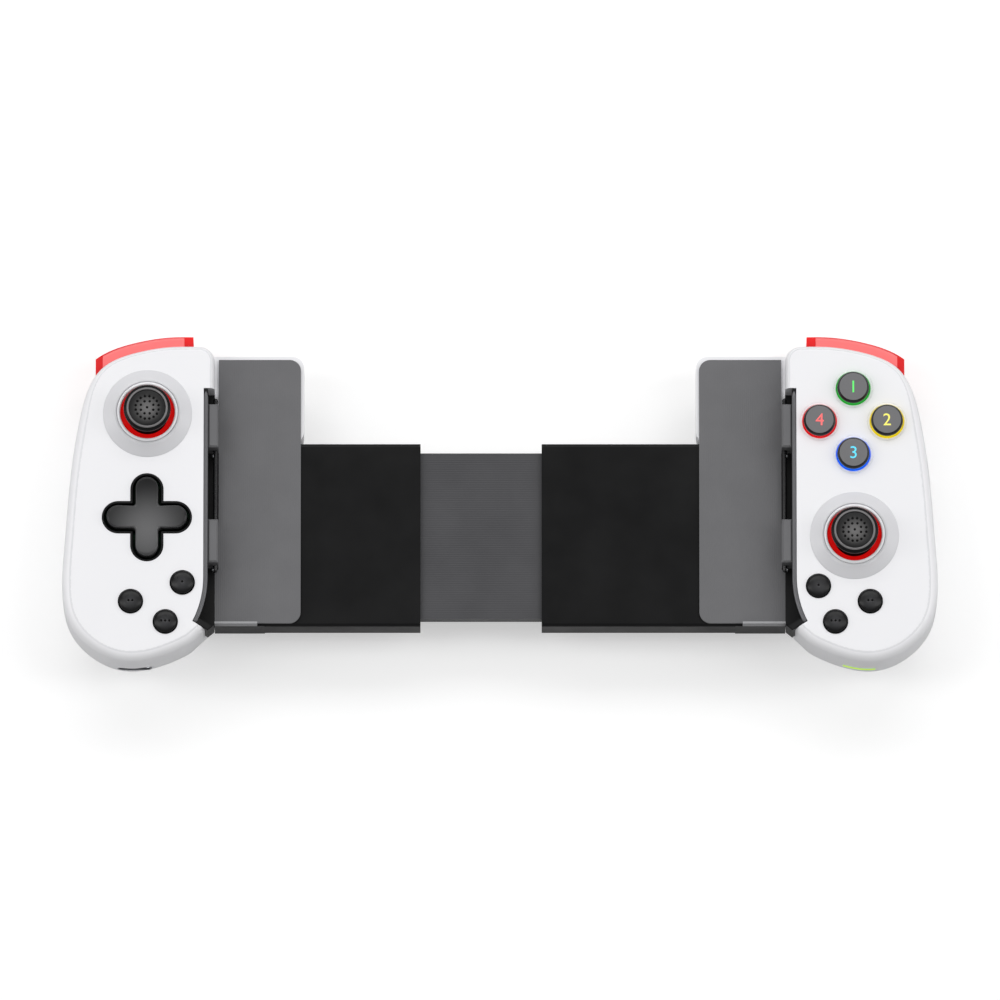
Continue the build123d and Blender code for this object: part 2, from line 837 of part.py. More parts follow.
def cross_pivot():
    """Small block that the cross key rocks on, with pins both ways."""
    piece = Box(cross_pivot_side, cross_pivot_side, cross_pivot_height)
    length = cross_pivot_side + 2 * (running_gap * 3 + cross_lug)
    piece += Rot(90, 0, 0) * Cylinder(gimbal_pin / 2, length)
    return piece + Rot(0, 90, 0) * Cylinder(gimbal_pin / 2, length)


def small_button():
    """Small round button with a domed top, a flange and a stem."""
    radius = small_button_width / 2
    flange = small_flange_width / 2
    stem = button_stem / 2
    under = -(cover_wall + free_gap)
    tip = -(switch_top - small_travel - stem_clearance)
    crown = []
    for angle in crown_angles:
        turn = math.radians(angle)
        swell = crown_share * (1 - math.cos(turn))
        crown.append((radius * math.sin(turn), small_button_rise * (1 - swell)))
    return turned(crown + [
        (0, tip), (stem, tip), (stem, under - flange_thickness), (flange, under - flange_thickness),
        (flange, under), (radius, under),
    ])


def action_button():
    """Tall round button with a bevelled top, a flange and a stem."""
    radius = action_button_width / 2
    top = action_top_width / 2
    flange = action_flange_width / 2
    stem = button_stem / 2
    under = -(cover_wall + free_gap * 3)
    tip = -(switch_top - action_travel - stem_clearance)
    return turned([
        (0, action_button_rise), (top - light_ring_rise / 2, action_button_rise),
        (top, action_button_rise - light_ring_rise / 4), (radius, action_button_rise * 0.68),
        (radius, under), (flange, under), (flange, under - flange_thickness),
        (stem, under - flange_thickness), (stem, tip), (0, tip),
    ])


def action_points():
    """Centres of the four action buttons on the handle, by their side of the diamond."""
    x, y = place(action_share)
    return {
        "top": (x, y + action_offset),
        "inner": (x + action_offset, y),
        "bottom": (x, y - action_offset),
        "outer": (x - action_offset, y),
    }


def action_light_rings():
    """Four light rings in the cover round the action buttons."""
    outer = light_ring_width / 2 - fit_gap
    inner = action_button_width / 2 + button_gap
    ring = turned([
        (inner, -(cover_wall + free_gap)), (outer, -(cover_wall + free_gap)), (outer, light_ring_rise / 2),
        ((outer + inner) / 2, light_ring_rise), (inner, light_ring_rise / 2),
    ])
    return Compound([on_face(point, ring) for point in action_points().values()])


def bumper():
    """Curved shoulder button that rocks on a pin at its inner end."""
    band = top_band(bumper_reach, bumper_root, bumper_inner, bumper_outer)
    bar = slab(band, bumper_top, bumper_top + bumper_thickness)
    crown = bar.faces().sort_by(lambda f: f.center().Y)[-1]
    bar = fillet(crown.edges().filter_by(Axis.Z, reverse=True), bumper_round)
    top, bottom = bumper_top + free_gap, bumper_top + bumper_thickness - free_gap
    bar += post(bumper_pivot, bumper_eye, top, bottom)
    x, y = bumper_pivot
    reach = bumper_eye / 3
    arm_end = -(inner_edge + bumper_inner + bumper_eye / 4)
    bar += block((x, arm_end), (y - reach, y + reach), top, bottom)
    return largest(bar - post(bumper_pivot, bumper_pin + running_gap, top, bottom))


def trigger():
    """Curved trigger that turns on the pin inside the top edge of the rear shell."""
    front = top_band(trigger_reach, trigger_root, trigger_inner, trigger_outer)
    back = top_band(trigger_reach, trigger_skin - trigger_reach, trigger_inner, trigger_outer)
    paddle = slab(front, trigger_top, trigger_step) + slab(back, trigger_step, trigger_bottom)
    crown = paddle.faces().sort_by(lambda f: f.center().Y)[-1]
    edge = crown.edges().filter_by(Axis.Z, reverse=True).sort_by(Axis.Z)
    paddle = fillet(edge[0], trigger_round)
    inner, outer, middle, way = trigger_pin_line()
    half_spring = trigger_spring_length / 2
    x_inner = -(inner_edge + trigger_inner)
    start = inner + way * ((inner.X - x_inner) / -way.X)
    stop = outer - way * (lug_width + free_gap)
    paddle += rod(tuple(start), tuple(stop), trigger_hub)
    paddle -= rod(tuple(start - way), tuple(outer + way), trigger_pin_width + running_gap)
    hub = trigger_hub / 2 + free_gap * 2
    paddle -= block(
        (outer.X - free_gap, outer.X + lug_width + free_gap), (outer.Y - pocket_root * 2, outer.Y + hub),
        trigger_top, trigger_step,
    )
    x = middle.X
    paddle -= block(
        (x - half_spring - running_gap, x + half_spring + running_gap),
        (middle.Y - pocket_root * 2, middle.Y + hub), trigger_top, trigger_step,
    )
    return largest(paddle)


def trigger_pin():
    """Steel pin of a trigger."""
    inner, outer, _, _ = trigger_pin_line()
    return rod(tuple(inner), tuple(outer), trigger_pin_width)


def trigger_spring():
    """Return spring of a trigger, a closed coil round its pin with one straight leg."""
    _, _, middle, way = trigger_pin_line()
    start, end = middle - way * (trigger_spring_length / 2), middle + way * (trigger_spring_length / 2)
    bore = trigger_pin_width + running_gap
    coil = rod(tuple(start), tuple(end), bore + trigger_spring_wire * 2)
    leg_start = start + way * trigger_spring_wire + Vector(0, 0, -(bore + trigger_spring_wire) / 2)
    leg_end = leg_start + Vector(0, -(pocket_root / 3), 0)
    coil += rod(tuple(leg_start), tuple(leg_end), trigger_spring_wire)
    return coil - rod(tuple(start), tuple(end), bore)


def circuit_board(stick_point, switch_points, cross_point):
    """Circuit board of a handle with its switches, cut out for the stick's module."""
    sheet = drawn_outline(-(shell_wall + board_gap)) - trigger_pocket(pocket_wall + board_gap)
    cut = module_width + board_gap * 2
    sheet -= Pos(*stick_point) * Rectangle(cut, cut)
    board = slab(sheet, board_depth, board_back)
    for share in screw_shares:
        board -= post(place(share), boss_width + board_gap, board_depth, board_back)
    board = largest(board)
    half = switch_width / 2
    for x, y in switch_points:
        board += block((x - half, x + half), (y - half, y + half), switch_top, board_depth)
    if cross_point:
        reach = cross_pivot_side / 2 + running_gap * 3
        x, y = cross_point
        top = cross_pivot_depth - cross_pivot_height / 2
        wide = cross_lug_length / 2
        for side in (-1, 1):
            near, far = x + side * reach, x + side * (reach + cross_lug)
            board += block((near, far), (y - wide, y + wide), top, board_depth)
        board -= Pos(x, y, level(cross_pivot_depth)) * Rot(0, 90, 0) * Cylinder(
            gimbal_pin / 2 + fit_gap, (reach + cross_lug) * 2
        )
    return board


def battery():
    """Flat battery in the left handle's palm."""
    x, y = place(battery_share)
    top = cavity_depth + battery_gap
    cell = block(
        (x - battery_width / 2, x + battery_width / 2), (y - battery_height / 2, y + battery_height / 2),
        top, top + battery_thickness,
    )
    return fillet(cell.edges().filter_by(Axis.Z), wing_round / 2)


def port_middle():
    """X and depth of the middle of the charging port."""
    return place((port_share, 0))[0], board_back + port_thickness / 2


def port_block(width, thickness, start, length):
    """Round-ended bar along Y at the charging port."""
    x, depth = port_middle()
    upright = Plane(origin=(x, start, level(depth)), x_dir=(1, 0, 0), z_dir=(0, 1, 0))
    return extrude(upright * SlotOverall(width, thickness), length)


def charging_port():
    """Steel charging socket in the bottom edge of the left handle, with its tongue."""
    start = port_set_back
    shell = port_block(port_width, port_thickness, start, port_length)
    inner = port_block(
        port_width - port_shell * 2, port_thickness - port_shell * 2, start, port_length - port_shell * 2
    )
    x, depth = port_middle()
    half = port_width * 0.37
    tongue = block(
        (x - half, x + half), (start + port_shell * 2, start + port_length - port_shell),
        depth - port_shell, depth + port_shell,
    )
    return shell - inner + tongue


def port_window():
    """Opening in the rear shell round the charging port."""
    depth = port_length + port_set_back + free_gap
    return port_block(port_width + free_gap, port_thickness + free_gap, -overrun, depth + overrun)


def status_bar(gap):
    """Bar of the status light, or its opening when a gap is given."""
    x, _ = place((light_share, 0))
    half = light_width / 2 + gap
    rise = light_height / 2 + gap
    length = light_length + gap
    return block((x - half, x + half), (-overrun, length), light_depth - rise, light_depth + rise)


def status_light():
    """Green light bar in the bottom edge of the right handle."""
    inside = slab(drawn_outline(-fit_gap), split_depth, light_depth * 2)
    return status_bar(0) & inside


def shell_screws():
    """Screws that hold a handle's two shells together."""
    screws = []
    for share in screw_shares:
        point = place(share)
        screw = post(point, screw_width, screw_tip_depth, screw_seat_depth)
        head = post(point, screw_head, screw_seat_depth, screw_seat_depth + screw_head_height)
        screws.append(screw + chamfer(head.edges().group_by(Axis.Z)[0], screw_head_height / 5))
    return Compound(screws)


def common_pieces(stick_point, openings, bottom_window, with_battery, sleeve_end, switches, cross_point):
    """Pieces that both handles have, modelled as the left handle."""
    pieces = {
        "front_cover": front_cover(openings),
        "rear_shell": rear_shell(bottom_window, with_battery),
        "clamp_bracket": clamp_bracket(),
        "grip_pads": grip_pads(),
        "bridge_sleeve": bridge_sleeve(sleeve_end),
        "circuit_board": circuit_board(stick_point, switches, cross_point),
        "stick_collar": on_face(stick_point, stick_collar()),
        "stick_light_ring": on_face(stick_point, stick_light_ring()),
        "stick_cap": on_face(stick_point, stick_cap()),
        "stick_shaft": on_face(stick_point, stick_shaft(), stick_pivot_depth),
        "stick_gimbal": on_face(stick_point, stick_gimbal(), stick_pivot_depth),
        "stick_carrier": on_face(stick_point, stick_carrier(), stick_pivot_depth),
        "stick_module": on_face(stick_point, stick_module(), (module_top + module_bottom) / 2),
        "bumper": bumper(),
        "trigger": trigger(),
        "trigger_pin": trigger_pin(),
        "trigger_spring": trigger_spring(),
        "shell_screws": shell_screws(),
    }
    return pieces


def small_buttons(smalls):
    """Three small round buttons of a handle by their names."""
    return {name + "_button": on_face(place(share), small_button()) for name, share in smalls.items()}


def small_openings(smalls):
    """Round holes of the small buttons."""
    hole = Circle(small_button_width / 2 + button_gap)
    return [(place(share), hole) for share in smalls.values()]


def left_pieces():
    """All pieces of the left handle."""
    stick = place(left_stick_share)
    cross = place(cross_share)
    cross_hole = cross_area(cross_length + fit_gap * 2, cross_arm + fit_gap * 2)
    openings = [(stick, Circle(collar_spigot / 2 + fit_gap)), (cross, cross_hole)]
    openings += small_openings(left_small_shares)
    switches = [place(share) for share in left_small_shares.values()]
    for quarter in range(4):
        turn = math.radians(quarter * 90)
        x, y = plunger_place * math.cos(turn), plunger_place * math.sin(turn)
        switches.append((cross[0] + x, cross[1] + y))
    pieces = common_pieces(stick, openings, port_window(), True, left_sleeve_end, switches, cross)
    pieces |= small_buttons(left_small_shares)
    pieces["cross_bezel"] = on_face(cross, cross_bezel())
    pieces["cross_key"] = on_face(cross, cross_key())
    pieces["cross_pivot"] = on_face(cross, cross_pivot(), cross_pivot_depth)
    pieces["battery"] = battery()
    pieces["charging_port"] = charging_port()
    return pieces


def right_pieces():
    """All pieces of the right handle, still modelled on the left."""
    stick = place(right_stick_share)
    openings = [(stick, Circle(collar_spigot / 2 + fit_gap))]
    openings += [(point, Circle(light_ring_width / 2)) for point in action_points().values()]
    openings += small_openings(right_small_shares)
    switches = [place(share) for share in right_small_shares.values()] + list(action_points().values())
    pieces = common_pieces(
        stick, openings, status_bar(fit_gap), False, right_sleeve_end, switches, None
    )
    pieces |= small_buttons(right_small_shares)
    for name, point in action_points().items():
        pieces[name + "_action_button"] = on_face(point, action_button())
    pieces["action_light_rings"] = action_light_rings()
    pieces["status_light"] = status_light()
    return pieces


def all_pieces():
    """Every piece of the controller by its node name, before it is centred."""
    nodes = {
        "centre_plate": centre_plate(),
        "centre_back_cover": centre_back_cover(),
        "pinion_gear": pinion_gear(),
        "left_rack": left_rack(),
        "right_rack": half_turn(left_rack()),
        "return_springs": return_springs(),
        "flex_ribbon": flex_ribbon(),
    }
    for name, piece in left_pieces().items():
        nodes["left_" + name] = piece
    for name, piece in right_pieces().items():
        nodes["right_" + name] = mirror(piece, about=Plane.YZ)
    return nodes


nodes = all_pieces()
box = Compound([solid for piece in nodes.values() for solid in piece.solids()]).bounding_box()
centring = Pos(-(box.min.X + box.max.X) / 2, -(box.min.Y + box.max.Y) / 2, -box.min.Z)
os.makedirs("parts", exist_ok=True)
for name, piece in nodes.items():
    export_step(centring * piece, "parts/" + name + ".step")
print("pieces", len(nodes), "size", box.size, "shift", centring.position)
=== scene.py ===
"""Looks of a mobile game controller: finishes, fine relief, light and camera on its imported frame.

Everything is in metres and in the frame's own axes: X along the bridge, Y away from the
user, Z out of the faces that carry the controls. Named sizes are in millimetres where
their heading says so.
"""
import json
import math

import bmesh
import bpy
import numpy as np
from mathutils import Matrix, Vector


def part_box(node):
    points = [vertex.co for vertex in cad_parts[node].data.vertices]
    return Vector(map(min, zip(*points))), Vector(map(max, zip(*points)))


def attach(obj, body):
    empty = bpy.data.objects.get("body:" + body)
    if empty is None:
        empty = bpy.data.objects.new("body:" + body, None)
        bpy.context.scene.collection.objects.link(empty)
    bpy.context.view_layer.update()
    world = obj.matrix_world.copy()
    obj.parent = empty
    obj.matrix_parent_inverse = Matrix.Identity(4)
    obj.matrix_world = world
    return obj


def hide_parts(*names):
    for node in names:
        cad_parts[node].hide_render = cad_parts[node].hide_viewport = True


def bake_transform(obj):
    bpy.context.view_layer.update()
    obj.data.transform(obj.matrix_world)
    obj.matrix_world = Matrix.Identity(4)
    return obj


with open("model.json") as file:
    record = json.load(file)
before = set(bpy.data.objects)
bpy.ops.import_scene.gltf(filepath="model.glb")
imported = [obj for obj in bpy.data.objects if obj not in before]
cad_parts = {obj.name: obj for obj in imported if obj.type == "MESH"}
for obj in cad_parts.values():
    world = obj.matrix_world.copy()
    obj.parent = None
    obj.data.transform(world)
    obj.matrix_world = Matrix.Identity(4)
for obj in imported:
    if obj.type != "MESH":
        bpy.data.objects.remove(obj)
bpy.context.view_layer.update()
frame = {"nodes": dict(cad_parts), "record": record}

MM = 0.001
SIDES = ("left", "right")
ALONG_X, ALONG_Y, ALONG_Z = (1, 0, 0), (0, 1, 0), (0, 0, 1)

# Level of the handles' faces; the clamp brackets stand this many millimetres lower
FACE_OVER_BRACKET = 0.3
FACE_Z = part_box("left_clamp_bracket")[1][2] + FACE_OVER_BRACKET * MM

# Distances within which points merge, in metres, and the angle from which an edge stays crisp
MERGE_DISTANCE = 1e-7
WELD_DISTANCE = 0.000002
CRISP_ANGLE = math.radians(28)

# Margin that tells neighbouring runs of a profile apart, in millimetres
TINT_MARGIN = 0.02

# Stick cap, in millimetres above the face or from its own axis
CAP_STEM = 1.78
CAP_UNDERSIDE = 4.85
CAP_SKIRT = 6.20
CAP_FLARE = 0.35
CAP_FLARE_RISE = 0.1
CAP_WAIST = 5.75
CAP_SHOULDER = 6.65
CAP_RIDGE = 5.15
CAP_RIDGE_TOP = 7.38
CAP_RIDGE_WIDTH = 0.2
# Depth below the ridge's top within which the ridge is painted grey as a highlight
CAP_RIDGE_TINT = 0.22
CAP_BEVEL = 0.25
CAP_GROOVE = 4.72
CAP_GROOVE_TOP = 6.98
CAP_DOME_TOP = 7.48
CAP_DOME_MARGIN = 0.2
CAP_TAIL = -4.40
CAP_DIMPLE_RINGS = ((1, 0.0), (8, 1.75), (16, 3.05))
CAP_DIMPLE_WIDTH = 0.30
CAP_DIMPLE_DEPTH = 0.22
CAP_KNURLS = 60
CAP_KNURL_DEPTH = 0.05
CAP_KNURL_SPREAD = 0.5
# Painted sheen on the stick's dome: how far towards the user its lightest point lies
CAP_SHEEN_SHIFT = 0.4
CAP_STEPS, CAP_DOME_STEPS, CAP_PASSES, CAP_TURNS = 8, 72, 5, 240
BOOT_RADIUS = 9.43
BOOT_REACH = 5.20
BOOT_THICKNESS = 0.5
BOOT_STEPS, BOOT_TURNS = 24, 96
STICK_PIVOT = -11.0

# Shares of a dimple's depth from which the cap's dimples and the small buttons' dots are painted black as
# shade in their hollows
DIMPLE_TINT = 0.3
MARK_TINT = 0.35

# Stick collar and the light ring in its well, in millimetres
WELL_RADIUS = 7.15
COLLAR_FOOT = -3.2
LIP_TOP = 2.6
LIP_ROUND = 0.3
LIP_EDGE = 7.92
LIP_DRAFT = 0.03
GROOVE_EDGE = 8.12
GROOVE_LEVEL = 2.0
GROOVE_DRAFT = 0.06
CONE_TOP = 2.25
CONE_RADIUS = 11.65
CONE_ROUND = 0.3
SPIGOT_RADIUS = 9.0
COLLAR_STEPS, COLLAR_TURNS = 4, 192
GLOW_INNER = 5.36
GLOW_OUTER = 7.08
GLOW_FOOT = -1.5
GLOW_LOW = -0.9
GLOW_HIGH = 0.6
GLOW_BEVEL = 0.3
GLOW_BEVEL_DROP = 0.5
GLOW_STEPS, GLOW_TURNS = 6, 144

# Small buttons, in millimetres
SMALL_RADIUS = 2.97
SMALL_EDGE = 0.55
SMALL_TOP = 1.28
SMALL_FOOT = -2.30
# Painted sheen on the small buttons: shift of its centre towards the user, and its reach as a share of the
# radius
SMALL_SHEEN_SHIFT = 0.3
SMALL_SHEEN_SHARE = 0.95
SMALL_STEPS = 48
MARK_DEPTH = 0.24
MARK_WIDTH = 0.30
MARK_SPACING = 1.05

# Action buttons, their numerals and light rings, in millimetres
BUTTON_TURNS = 128
EDGE_PASSES = 2
ACTION_RADIUS = 4.18
ACTION_LIT = 0.9
ACTION_UNLIT = -1.0
ACTION_SHOULDER = 1.70
ACTION_FACE = 3.64
ACTION_TOP = 2.46
ACTION_FOOT = -2.85
ACTION_BEVEL = 0.12
ACTION_BEVEL_DROP = 0.06
ACTION_CROWN = 0.03
ACTION_SIDE_MARGIN = 0.1
ACTION_STEPS = 8
INK_HEIGHT = 3.4
INK_THICKNESS = 0.03
LETTER_SIZE_TO_HEIGHT = 1.35
RING_INNER = 4.26
RING_STEP = 4.52
RING_OUTER = 5.12
RING_FOOT = -2.0
RING_FLOOR = -0.40
RING_TOP = 0.03
RING_BEVEL = 0.05
RING_STEPS = 3

# Cross key, in millimetres
KEY_REACH = 10.50
KEY_HALF_ARM = 2.95
KEY_CORNER = 0.80
KEY_TOP = 1.98
KEY_FOOT = -2.90
KEY_EDGE = 0.75
KEY_DISH_RADIUS = 69.0
KEY_DISH_DEPTH = 0.8
# Painted sheen on the cross key: shift of its centre towards the user, and its reach
KEY_SHEEN_SHIFT = 3.0
KEY_SHEEN_REACH = 13.0
KEY_EDGE_SHARE = 0.8
KEY_RINGS, KEY_EDGE_RINGS, KEY_SIDE_RINGS, KEY_TURNS = 28, 25, 6, 720
SMALLEST_SINE = 1e-6

# Flat ribbon and return springs between the bridge and the handles, in millimetres
RIBBON_THICKNESS = 0.3
RIBBON_RISE = 1.6
RIBBON_SPARE = 13.0
RIBBON_BEND = 0.45
RIBBON_STEPS, RIBBON_CORNERS = 24, 24
SPRING_INNER = 32.3
SPRING_WIRE = 0.5
SPRING_TURNS = 44
SPRING_STEPS, SPRING_CORNERS = 20, 8

# Powers that make a swept section round or nearly a rectangle
ROUND_SECTION = 1.0
FLAT_SECTION = 0.3

# Lines in the finishes, in millimetres: the darker painted shade line along the faces' edge as depths below
# the face, the lighter painted highlight strip on the ledge below its upper edge, and the bumper's darker
# front below its top
EDGE_LINE_LOW = 0.11
EDGE_LINE_HIGH = 0.02
EDGE_LINE_SOFT = 0.01
LEDGE_BOTTOM = -50.0
LEDGE_TOP = -32.79
LEDGE_SOFT = 0.05
BUMPER_LINE = 0.35
BUMPER_SOFT = 0.1

# Clamp brackets: rim bead, rod and small screws, in millimetres
BEAD_HALF_WIDTH = 0.55
BEAD_HALF_HEIGHT = 0.32
BEAD_LEVEL = -0.36
BEAD_END = 0.5
BEAD_TAPER = 0.02
BEAD_STEPS, BEAD_BEND_STEPS, BEAD_CORNERS = 60, 40, 24
CLAMP_WALL = 77.4
CLAMP_BEND = -22.29
CLAMP_HEEL = -33.98
ROD_RADIUS = 0.62
ROD_INSET = 1.9
ROD_LEVEL = -5.40
ROD_BOTTOM = 16.5
ROD_TOP = 1.6
ROD_STEPS, ROD_TURNS = 8, 32
SCREW_RADIUS = 0.62
SCREW_HEIGHT = 0.45
SCREW_INSET = 1.4
SCREW_STEPS, SCREW_CORNERS = 10, 32
PAD_ENDS = (24.6, 11.3, -6.2, -19.1)

# Light: strengths of the lit pieces, the floor and the world; softboxes as place and size in
# metres and power in watts
RING_GLOW, INK_GLOW, STATUS_GLOW = 0.45, 0.35, 0.6
FLOOR_HALF = 3.0
FLOOR_GREY = 0.64
FLOOR_ROUGHNESS = 0.9
FLOOR_SPECULAR = 0.1
FLOOR_GLOW = 0.45
WORLD_GLOW = 0.37
SOFTBOXES = {
    "behind": ((0.0, 0.80, 1.0), 1.6, 0.5, 6.9),
    "left_strip": ((-0.95, 0.0, 1.05), 0.4, 1.4, 5.7),
    "right_strip": ((0.95, 0.0, 1.05), 0.4, 1.4, 5.7),
}

# Camera, in metres but for its sensor in millimetres
CAMERA_ELEVATION = math.radians(77.5)
CAMERA_DISTANCE = 6.0
CAMERA_CLIP = 20.0
SENSOR_WIDTH = 36.0
FRAME_WIDTH = 0.2611
FRAME_CENTRE = (0.0, -0.0017)


# Meshes

def grid_faces(rows, columns, wrap):
    """Quads between neighbouring rows and columns of a grid; the last column meets the first if wrap."""
    count = columns if wrap else columns - 1
    row, column = np.meshgrid(np.arange(rows - 1), np.arange(count), indexing="ij")
    after = (column + 1) % columns
    near, far = row * columns, (row + 1) * columns
    quads = np.stack([near + column, near + after, far + after, far + column], axis=-1)
    return quads.reshape(-1, 4)


def mesh_piece(name, points, faces, materials, body, node=None, material_of=None):
    """Object from arrays of points and quads, merged where points coincide, smooth all over."""
    mesh = bpy.data.meshes.new(name)
    mesh.from_pydata(points.tolist(), [], faces.tolist())
    for material in materials:
        mesh.materials.append(material)
    if material_of is not None:
        mesh.polygons.foreach_set("material_index", material_of)
    mesh.polygons.foreach_set("use_smooth", np.ones(len(faces), dtype=bool))
    work = bmesh.new()
    work.from_mesh(mesh)
    bmesh.ops.remove_doubles(work, verts=work.verts, dist=MERGE_DISTANCE)
    bmesh.ops.recalc_face_normals(work, faces=work.faces)
    work.to_mesh(mesh)
    work.free()
    piece = bpy.data.objects.new(name, mesh)
    bpy.context.scene.collection.objects.link(piece)
    if body:
        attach(piece, body)
    if node:
        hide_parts(node)
    return piece


def sampled(knots, steps):
    """Profile through (radius, height) knots, each run cut into equal steps; the result is an array."""
    knots = np.asarray(knots, dtype=float)
    share = np.linspace(0, 1, steps, endpoint=False)[:, None]
    runs = [knots[i] + (knots[i + 1] - knots[i]) * share for i in range(len(knots) - 1)]
    return np.vstack(runs + [knots[-1:]])


def rounded(profile, passes):
    """Profile softened by averaging each point with its neighbours; the two ends stay."""
    for _ in range(passes):
        middle = (profile[:-2] + 2 * profile[1:-1] + profile[2:]) / 4
        profile = np.vstack([profile[:1], middle, profile[-1:]])
    return profile


def run_middles(profile):
    """Radius and height of the middle of each run of a profile."""
    middles = (profile[:-1] + profile[1:]) / 2
    return middles[:, 0], middles[:, 1]


def angles_round(turns):
    """Row of equally spaced angles round a full turn."""
    return np.linspace(0, 2 * math.pi, turns, endpoint=False)[None, :]


def quad_angles(turns):
    """Row of the angles in the middle of each quad round a full turn."""
    return (np.arange(turns) + 0.5)[None, :] * 2 * math.pi / turns


def lathe_points(profile, centre, turns, relief=None):
    """Points of a turned surface: centre + (r cos a, r sin a, z), with a relief added to r and z."""
    angle = angles_round(turns)
    radius = np.repeat(profile[:, :1], turns, axis=1)
    height = np.repeat(profile[:, 1:], turns, axis=1)
    if relief:
        more_radius, more_height = relief(radius, height, angle)
        radius, height = radius + more_radius, height + more_height
    x = centre[0] + radius * np.cos(angle) * MM
    y = centre[1] + radius * np.sin(angle) * MM
    z = centre[2] + height * MM
    return np.stack([x, y, z], axis=-1).reshape(-1, 3)


def turned_piece(name, profile, centre, turns, materials, body, node=None, parts=None, relief=None):
    """Piece turned round an upright axis; parts gives the material of each run, or of each quad."""
    points = lathe_points(profile, centre, turns, relief)
    faces = grid_faces(len(profile), turns, True)
    material_of = None
    if parts is not None:
        runs = np.asarray(parts, dtype=np.int32).reshape(len(profile) - 1, -1)
        material_of = np.broadcast_to(runs, (len(profile) - 1, turns)).ravel()
    return mesh_piece(name, points, faces, materials, body, node, material_of)


def node_axis(node):
    """Point on a node's upright axis, at the level of the handles' faces."""
    low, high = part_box(node)
    return ((low[0] + high[0]) / 2, (low[1] + high[1]) / 2, FACE_Z)


def outward(side):
    """Sign of X on a side of the controller."""
    return -1 if side == "left" else 1


def over(centre, shift, height):
    """Point above a node's axis, shifted towards the user, both in millimetres."""
    return (centre[0], centre[1] - shift * MM, centre[2] + height * MM)


# Shader groups

def new_group(name, inputs, outputs):
    """Empty shader node group with named sockets; inputs are (name, type, value)."""
    group = bpy.data.node_groups.new(name, "ShaderNodeTree")
    for label, kind, value in inputs:
        socket = group.interface.new_socket(label, in_out="INPUT", socket_type=kind)
        socket.default_value = value
    for label, kind in outputs:
        group.interface.new_socket(label, in_out="OUTPUT", socket_type=kind)
    return group, group.nodes.new("NodeGroupInput"), group.nodes.new("NodeGroupOutput")


def object_place(tree):
    """Shaded point in the object's own axes."""
    return tree.nodes.new("ShaderNodeTexCoord").outputs["Object"]


def vector_result(tree, operation, first, second, output):
    """Output of a vector math node on two sockets."""
    node = tree.nodes.new("ShaderNodeVectorMath")
    node.operation = operation
    tree.links.new(first, node.inputs[0])
    tree.links.new(second, node.inputs[1])
    return node.outputs[output]


def result(tree, operation, *values, clamp=False):
    """Output of a math node; each value is a socket to link or a plain number."""
    node = tree.nodes.new("ShaderNodeMath")
    node.operation = operation
    node.use_clamp = clamp
    for place, value in zip(node.inputs, values):
        if isinstance(value, (int, float)):
            place.default_value = value
        else:
            tree.links.new(value, place)
    return node.outputs[0]


def scaled_noise(tree, place, scale, detail, roughness):
    """Noise texture on a place, with its scale linked from a socket."""
    noise = tree.nodes.new("ShaderNodeTexNoise")
    noise.inputs["Detail"].default_value = detail
    noise.inputs["Roughness"].default_value = roughness
    tree.links.new(place, noise.inputs["Vector"])
    tree.links.new(scale, noise.inputs["Scale"])
    return noise.outputs["Fac"]


def mapped(tree, value, low, high, usual=(0.3, 0.7)):
    """Noise value, which usually lies from 0.3 to 0.7, spread between two sockets' values."""
    spread = tree.nodes.new("ShaderNodeMapRange")
    spread.inputs["From Min"].default_value, spread.inputs["From Max"].default_value = usual
    tree.links.new(value, spread.inputs["Value"])
    tree.links.new(low, spread.inputs["To Min"])
    tree.links.new(high, spread.inputs["To Max"])
    return spread.outputs["Result"]


def moulded_grain_group():
    """Moulded surface: slow patches between two colours and two roughnesses, and a fine grain height."""
    group, entry, leave = new_group(
        "moulded_grain",
        [
            ("Colour", "NodeSocketColor", (1, 1, 1, 1)),
            ("Patch Colour", "NodeSocketColor", (1, 1, 1, 1)),
            ("Patch Scale", "NodeSocketFloat", 40.0),
            ("Grain Scale", "NodeSocketFloat", 4000.0),
            ("Roughness Low", "NodeSocketFloat", 0.4),
            ("Roughness High", "NodeSocketFloat", 0.5),
        ],
        [("Colour", "NodeSocketColor"), ("Roughness", "NodeSocketFloat"), ("Height", "NodeSocketFloat")],
    )
    place = object_place(group)
    patches = scaled_noise(group, place, entry.outputs["Patch Scale"], detail=3, roughness=0.55)
    grain = scaled_noise(group, place, entry.outputs["Grain Scale"], detail=2, roughness=0.5)
    blend = group.nodes.new("ShaderNodeMix")
    blend.data_type = "RGBA"
    group.links.new(patches, blend.inputs["Factor"])
    group.links.new(entry.outputs["Colour"], blend.inputs[6])
    group.links.new(entry.outputs["Patch Colour"], blend.inputs[7])
    group.links.new(blend.outputs[2], leave.inputs["Colour"])
    rough = mapped(group, patches, entry.outputs["Roughness Low"], entry.outputs["Roughness High"])
    group.links.new(rough, leave.inputs["Roughness"])
    group.links.new(grain, leave.inputs["Height"])
    return group


def ribs_group():
    """Straight ribs: the sine of the distance along Direction in pitches, from 0 to 1."""
    group, entry, leave = new_group(
        "fine_ribs",
        [("Direction", "NodeSocketVector", (1, 0, 0)), ("Pitch", "NodeSocketFloat", 0.001)],
        [("Height", "NodeSocketFloat")],
    )
    along = vector_result(group, "DOT_PRODUCT", object_place(group), entry.outputs["Direction"], "Value")
    count = result(group, "DIVIDE", along, entry.outputs["Pitch"])
    wave = result(group, "SINE", result(group, "MULTIPLY", count, 2 * math.pi))
    group.links.new(result(group, "MULTIPLY_ADD", wave, 0.5, 0.5), leave.inputs["Height"])
    return group


